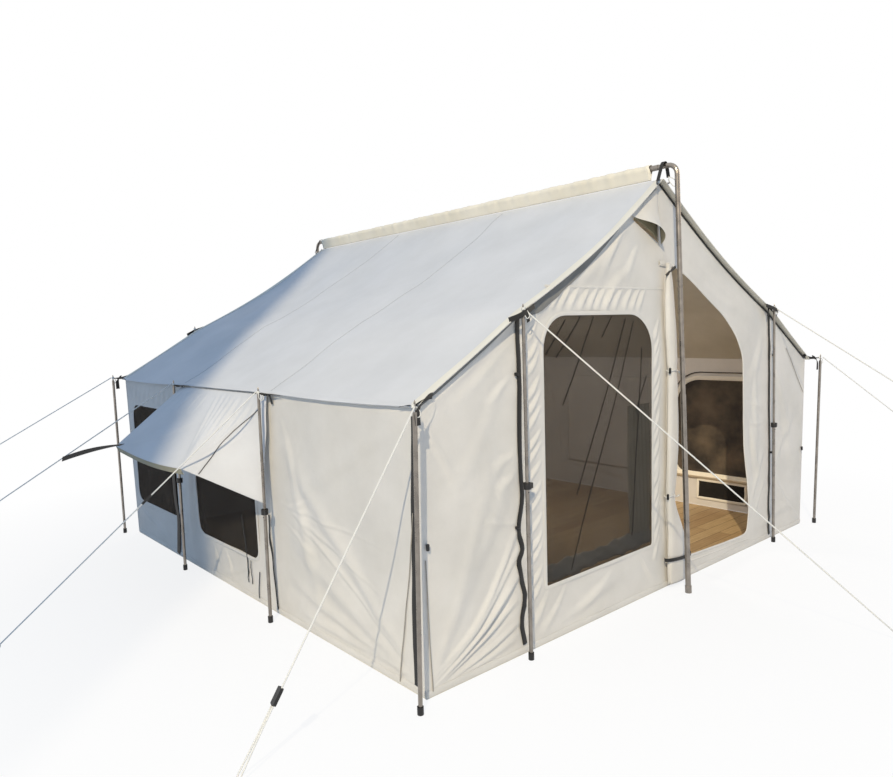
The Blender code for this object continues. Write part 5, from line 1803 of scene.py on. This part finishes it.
for name, z in (("door_tie_high", 1.275), ("door_tie_low", 0.555)):
    ring = [roll_surface(z + 0.003 * math.sin(i), 2.0 * math.pi * i / 20.0, 0.003)
            for i in range(21)]
    finish_piece(tube(f"{name}_cord", ring, TIE_CORD_R, 6), rope_finish)
    left = roll_surface(z, math.pi + 0.5, 0.006)
    block(
        f"{name}_toggle", left, (0.012, 0.012, 0.034), black_plastic,
        edge=TOGGLE_EDGE)
    tail = [roll_surface(z, 4.9, 0.004), roll_surface(z - 0.006, 5.5, 0.008),
            roll_surface(z - 0.016, 6.0, 0.016), roll_surface(z - 0.012, 6.1, 0.034)]
    cord_loop(f"{name}_tail", tail)
    block(f"{name}_slider", tail[-1], (0.018, 0.010, 0.010), rope_finish, edge=0.003)
foot_ring = [roll_surface(0.172 - 0.010 * math.cos(t), t, 0.004)
             for t in np.linspace(2.6, 6.6, 18).tolist()]
strap("door_foot_strap", foot_ring, Vector((0.0, 0.0, 1.0)), 0.020, webbing)
print("toggles done")

# %% [markdown]
# ## Behind the mesh
#
# Inside the front window a cover is rolled down to the sill and its side hangs loose, so
# a crumpled grey band shows along the bottom and a pale one along the right. The roll is
# a grid that meets itself, crumpled by a few sines. Where the mesh is doubled by a pleat
# it looks darker, as thin slanting lines.

# %% Inner cover and pleats of the mesh
COVER = 0.0012
# Painted light: the cover is coloured paler than its own grey, for the sun that reaches it through
# the mesh.
paled_cover_finish = canvas_finish("inner_cover_painted_light", "#C9C7C1", "#EDEBE6", 0.6)
cover, a, b = grid_piece("front_window_rolled_cover", 90, 26)
turn = 2.0 * np.pi * b
u = -1.075 + 0.93 * a
crumple = 1.0 + 0.16 * np.sin(5.0 * turn + 31.0 * u) * np.sin(17.0 * u)
crumple += 0.12 * np.sin(3.0 * turn - 47.0 * u)
height = 0.042 + 0.006 * np.sin(13.0 * u)
z = 0.325 + 0.012 * a + height * np.sin(turn) * crumple
y = -gable_wall_y(0.33) + 0.028 + 0.016 * np.cos(turn) * crumple
write_uv(cover, u, b * 0.2)
move_points(cover, u, y, z)
close_seam()
thicken(cover, COVER, sharp=False)
finish_piece(cover, paled_cover_finish)
side_cover, a, b = grid_piece("front_window_side_cover", 24, 60)
z = 0.30 + 0.80 * b
u = -0.335 + 0.20 * a - 0.03 * b
y = -gable_wall_y(z) + 0.024 + 0.008 * np.sin(34.0 * a + 3.0 * b) * (0.3 + 0.7 * b)
write_uv(side_cover, u, z)
move_points(side_cover, u, y, z)
thicken(side_cover, COVER, sharp=False)
finish_piece(side_cover, sleeve_finish)
MESH_PLEATS = [
    [(-0.896, 1.575), (-1.050, 1.41)], [(-0.778, 1.585), (-0.974, 1.395)],
    [(-0.512, 1.587), (-0.603, 1.481)], [(-0.398, 1.573), (-0.600, 1.17), (-0.825, 0.699)],
    [(-0.323, 1.561), (-0.58, 1.0), (-0.876, 0.321)],
    [(-0.254, 1.415), (-0.30, 0.95), (-0.356, 0.386)],
    [(-0.214, 1.256), (-0.311, 1.073)], [(-0.66, 1.588), (-0.79, 1.40), (-0.93, 1.16)]]
for i, places in enumerate(MESH_PLEATS):
    band(
        f"front_mesh_pleat_{i}", "front", wavering(places, 10), 0.008, doubled_net,
        lift=-0.0005, crown=0.001, thickness=NET_THICKNESS)
print("inner cover done")

# %% [markdown]
# ## The right wall, seen through the door
#
# Under the right front window its rolled cover hangs in a cream roll, a black zip runs
# round the window's head, and near the floor there is a small low vent. The middle
# window's cover is closed, so it lies flat behind that mesh.

# %% Roll, zip and low vent of the right wall
roll_path = straight([(-1.66, 0.262), (-0.80, 0.262)], 0.02)
band(
    "right_window_rolled_cover", "right", roll_path, 0.055, sleeve_finish,
    lift=-0.006, crown=-0.030)
# The zip is the upper part of an outline that starts at the bottom, so the list is turned
# to begin where its two ends lie far apart.
ZIP_FOOT_V = 0.55
head = [
    (u, v) for u, v in arched(-1.70, -0.76, 0.30, 1.13, (0.05, 0.05, 0.25, 0.25))
    if v > ZIP_FOOT_V]
start = max(range(len(head)), key=lambda i: math.dist(head[i], head[i - 1]))
zip_line = line_on("right", *np.array(head[start:] + head[:start]).T, -0.010)
finish_piece(tube("right_window_zip", zip_line, 0.004, 6), piping_finish)
LOW_VENT = [(-1.41, 0.075), (-1.0, 0.075), (-1.0, 0.225), (-1.41, 0.225)]
for face, lift in (("inside", -0.006), ("outside", 0.003)):
    band(
        f"right_low_vent_{face}", "right", straight([(-1.41, 0.15), (-1.0, 0.15)], 0.02), 0.15,
        doubled_net, lift=lift, crown=0.0)
    band(
        f"right_low_vent_binding_{face}", "right", straight(LOW_VENT + LOW_VENT[:1], 0.02),
        0.020, trim_finish, lift=lift * 1.4, crown=lift * 0.3)
toggle("right_window_toggle", "right", -1.50, 0.255, lift=-0.045)
closed_cover, a, b = grid_piece("right_middle_closed_cover", 60, 50)
u = -0.56 + 0.94 * a
v = 0.235 + 0.84 * b
write_uv(closed_cover, u, v)
move_points(closed_cover, *HANG["right"](u, v, -0.012 + 0.002 * np.sin(9.0 * u + 4.0 * v)))
thicken(closed_cover, COVER, sharp=False)
finish_piece(closed_cover, wall_finish)
print("right wall done")

# %% [markdown]
# ## The awning's edge and line
#
# The awning's free edge has a hem in the olive painted-shade finish that shows from below,
# and a dark line on its top is the painted shadow of the guy rope that passes over it.

# %% Awning hem and painted rope shadow
edge_t = np.linspace(0.37, 1.0, 40)
edge_path = [Vector(row) for row in awning_edge(edge_t)]
hem_down = [Vector((0.45, 0.0, -1.0)).normalized() for _ in edge_path]
hem_path = [p + d * 0.017 + Vector((0.0, 0.0, -0.001)) for p, d in zip(edge_path, hem_down)]
strap("awning_shaded_hem", hem_path, hem_down, 0.034, olive_shade_finish)
ROPE_SHADOW_U = [0.04, 0.07, 0.135, 0.20, 0.24, 0.26, 0.28, 0.29]
ROPE_SHADOW_V = [0.133, 0.167, 0.30, 0.433, 0.58, 0.70, 0.867, 0.983]
t, knots = np.linspace(0.0, 1.0, 30), np.linspace(0.0, 1.0, len(ROPE_SHADOW_U))
u, v = np.interp(t, knots, ROPE_SHADOW_U), np.interp(t, knots, ROPE_SHADOW_V)
rope_shadow_path = awning_place(u, v, 0.004 + awning_relief(u, v)).T.tolist()
finish_piece(
    tube("awning_rope_shadow", rope_shadow_path, 0.0020, 6), rope_shadow_finish)
print("awning edge done")

# %% [markdown]
# ## At the peak
#
# A black strap goes over the ridge tube and hooks to the roof's peak on both ends of the
# tent, with a white cord loop. Below the vent the seam ends in a hem with a short strap.

# %% Peak straps, hooks and hem
PEAK_STRAP = [
    (-0.066, 2.332), (-0.042, 2.385), (-0.020, 2.432), (0.0, 2.4445), (0.020, 2.432),
    (0.034, 2.395), (0.042, 2.362)]
PEAK_STRAP_Y = 1.835
HOOK_TIPS = {"left": (-0.066, 2.336), "right": (0.043, 2.352)}
HOOK = [(0.0, 0.0), (0.008, -0.010), (0.004, -0.022), (-0.008, -0.020)]
PEAK_LOOP = [
    (0.01, 1.855, 2.36), (0.035, 1.875, 2.345), (0.045, 1.885, 2.315), (0.02, 1.88, 2.305),
    (0.0, 1.865, 2.335), (0.01, 1.858, 2.358)]
for end, sy in ENDS:
    y = sy * PEAK_STRAP_Y
    over = curve_through([(x, y, z) for x, z in PEAK_STRAP], 4)
    strap(
        f"{end}_peak_strap", over, Vector((0.0, 1.0, 0.0)), 0.022, webbing)
    for side, sx in SIDES:
        tip_x, tip_z = HOOK_TIPS[side]
        hook = [Vector((tip_x, y, tip_z)) + Vector((sx * x, 0.0, z)) for x, z in HOOK]
        finish_piece(
            tube(f"{end}_peak_hook_{side}", curve_through(hook, 5), 0.003, 8), black_plastic)
    cord_loop(f"{end}_peak_loop", [(x, sy * y, z) for x, y, z in PEAK_LOOP])
band(
    "front_peak_hem", "front", straight([(-0.042, 1.882), (0.072, 1.874)], 0.01), 0.028,
    wall_finish, lift=0.006, crown=0.004)
band(
    "front_peak_short_strap", "front", straight([(-0.049, 1.808), (0.06, 1.862)], 0.01), 0.016,
    webbing, lift=0.046)
# Behind the vent a sheet of the olive painted shade stands for the shaded inside.
vent_backing, a, b = grid_piece("peak_vent_shaded_backing", 16, 14)
x, _, z = hood_place(a, 0.06 + 0.86 * b, 0.0)
write_uv(vent_backing, x, z)
move_points(vent_backing, x, -gable_wall_y(z) + 0.006, z)
thicken(vent_backing, 0.0010, sharp=False)
finish_piece(vent_backing, olive_shade_finish)
print("peak done")

# %% [markdown]
# ## The backdrop
#
# The tent stands on white paper. The paper keeps the tent's shadow near it and fades to
# plain white further off, so that no horizon shows. Only rays that show the background
# see that white: the camera's, mirrored ones and those that pass through the mesh.

# %% White paper
def background_rays(owner):
    """1 for every ray that shows the background: the camera's, mirrored and passing ones."""
    rays = add_node(owner, "ShaderNodeLightPath")
    total = rays.outputs["Is Camera Ray"]
    for kind in ("Is Glossy Ray", "Is Transmission Ray"):
        total = add_node(
            owner, "ShaderNodeMath", {"operation": "ADD", "use_clamp": True},
            {0: total, 1: rays.outputs[kind]}).outputs["Value"]
    return total


WHITE = (1.0, 1.0, 1.0, 1.0)
bpy.ops.mesh.primitive_plane_add(size=60.0, location=(0.0, 0.0, 0.0))
stage_floor = bpy.context.object
stage_floor.name = "stage_floor"
stage_floor.location.z = -0.0008
floor_paper, paper_shader = new_finish("white_backdrop_paper", "#F2F2F2", 0.95)
place = add_node(floor_paper, "ShaderNodeTexCoord")
distance = add_node(
    floor_paper, "ShaderNodeVectorMath", {"operation": "LENGTH"}, {0: place.outputs["Object"]})
fade = add_node(
    floor_paper, "ShaderNodeMapRange", None,
    {"Value": distance.outputs["Value"], "From Min": 1.5, "From Max": 4.5,
     "To Min": 0.80, "To Max": 1.0})
seen = add_node(
    floor_paper, "ShaderNodeMath", {"operation": "MULTIPLY"},
    {0: fade.outputs["Result"], 1: background_rays(floor_paper)})
glow = add_node(floor_paper, "ShaderNodeEmission", None, {"Color": WHITE})
blend = add_node(
    floor_paper, "ShaderNodeMixShader", None,
    {0: seen.outputs["Value"], 1: paper_shader.outputs["BSDF"],
     2: glow.outputs["Emission"]})
floor_paper.node_tree.links.new(
    blend.outputs["Shader"], floor_paper.node_tree.nodes["Material Output"].inputs["Surface"])
stage_floor.data.materials.append(floor_paper)
print("stage:", stage_floor.name)

# %% [markdown]
# ## Light
#
# The light is a hard, warm sun from the front left, high over the tent. It is a spot far
# off, and the edge of its cone is the shade line that crosses the left slope and wall: the
# edge passes through two places on that line, and the cone opens to its sunny side. Two
# soft warm lamps fill the far sides, a dim one inside stands for daylight that comes
# through the cloth, and cool grey surroundings light the shade.

# %% Lamps and surroundings
SUN_PLACE = Vector((-12.0, -10.1, 11.1))
SHADE_PLACES = [Vector((-0.25, 1.70, 2.22)), Vector((-1.89, 0.43, 0.03))]
INTO_THE_SUN = math.radians(38.0)


def studio_light(kind, name, place, aim, power, hex_colour, **settings):
    """Add a lamp that shines along its aim, and set what its kind needs."""
    bpy.ops.object.light_add(type=kind, location=place)
    lamp = bpy.context.object
    lamp.name = name
    lamp.data.energy = power
    lamp.data.color = linear(hex_colour)[:3]
    for key, value in settings.items():
        setattr(lamp.data, key, value)
    lamp.rotation_mode = "QUATERNION"
    lamp.rotation_quaternion = aim.to_track_quat("-Z", "Y")


shade_rays = [(place - SUN_PLACE).normalized() for place in SHADE_PLACES]
edge = (shade_rays[0] + shade_rays[1]).normalized()
sunward = shade_rays[1].cross(shade_rays[0]).normalized()
aim = (edge * math.cos(INTO_THE_SUN) + sunward * math.sin(INTO_THE_SUN)).normalized()
studio_light(
    "SPOT", "sun_spot", SUN_PLACE, aim, 9600.0, "#FFEECD",
    spot_size=2.0 * math.acos(aim.dot(edge)), spot_blend=0.01, shadow_soft_size=0.13)
for name, place, target, size, power, hex_colour in (
        ("room_glow", (0.1, 0.1, 1.85), (0.45, -0.1, 0.0), 0.7, 27.0, "#FFF4EA"),
        ("right_fill", (8.5, -4.5, 5.0), (0.5, -0.5, 1.0), 3.0, 130.0, "#FFDCAE"),
        ("rear_fill", (6.5, 9.0, 5.6), (0.3, 0.3, 1.0), 4.0, 420.0, "#FFDCAE")):
    studio_light(
        "AREA", name, place, Vector(target) - Vector(place), power, hex_colour, shape="DISK",
        size=size)
world = bpy.data.worlds.new("white_studio")
scene.world = world
world.use_nodes = True
surroundings = world.node_tree.nodes["Background"]
surroundings.inputs["Color"].default_value = linear("#94ABC7")
surroundings.inputs["Strength"].default_value = 1.0
white = add_node(world, "ShaderNodeBackground", None, {"Color": WHITE, "Strength": 1.0})
mixer = add_node(
    world, "ShaderNodeMixShader", None,
    {0: background_rays(world), 1: surroundings.outputs["Background"],
     2: white.outputs["Background"]})
world.node_tree.links.new(
    mixer.outputs["Shader"], world.node_tree.nodes["World Output"].inputs["Surface"])
scene.view_settings.view_transform = "Standard"
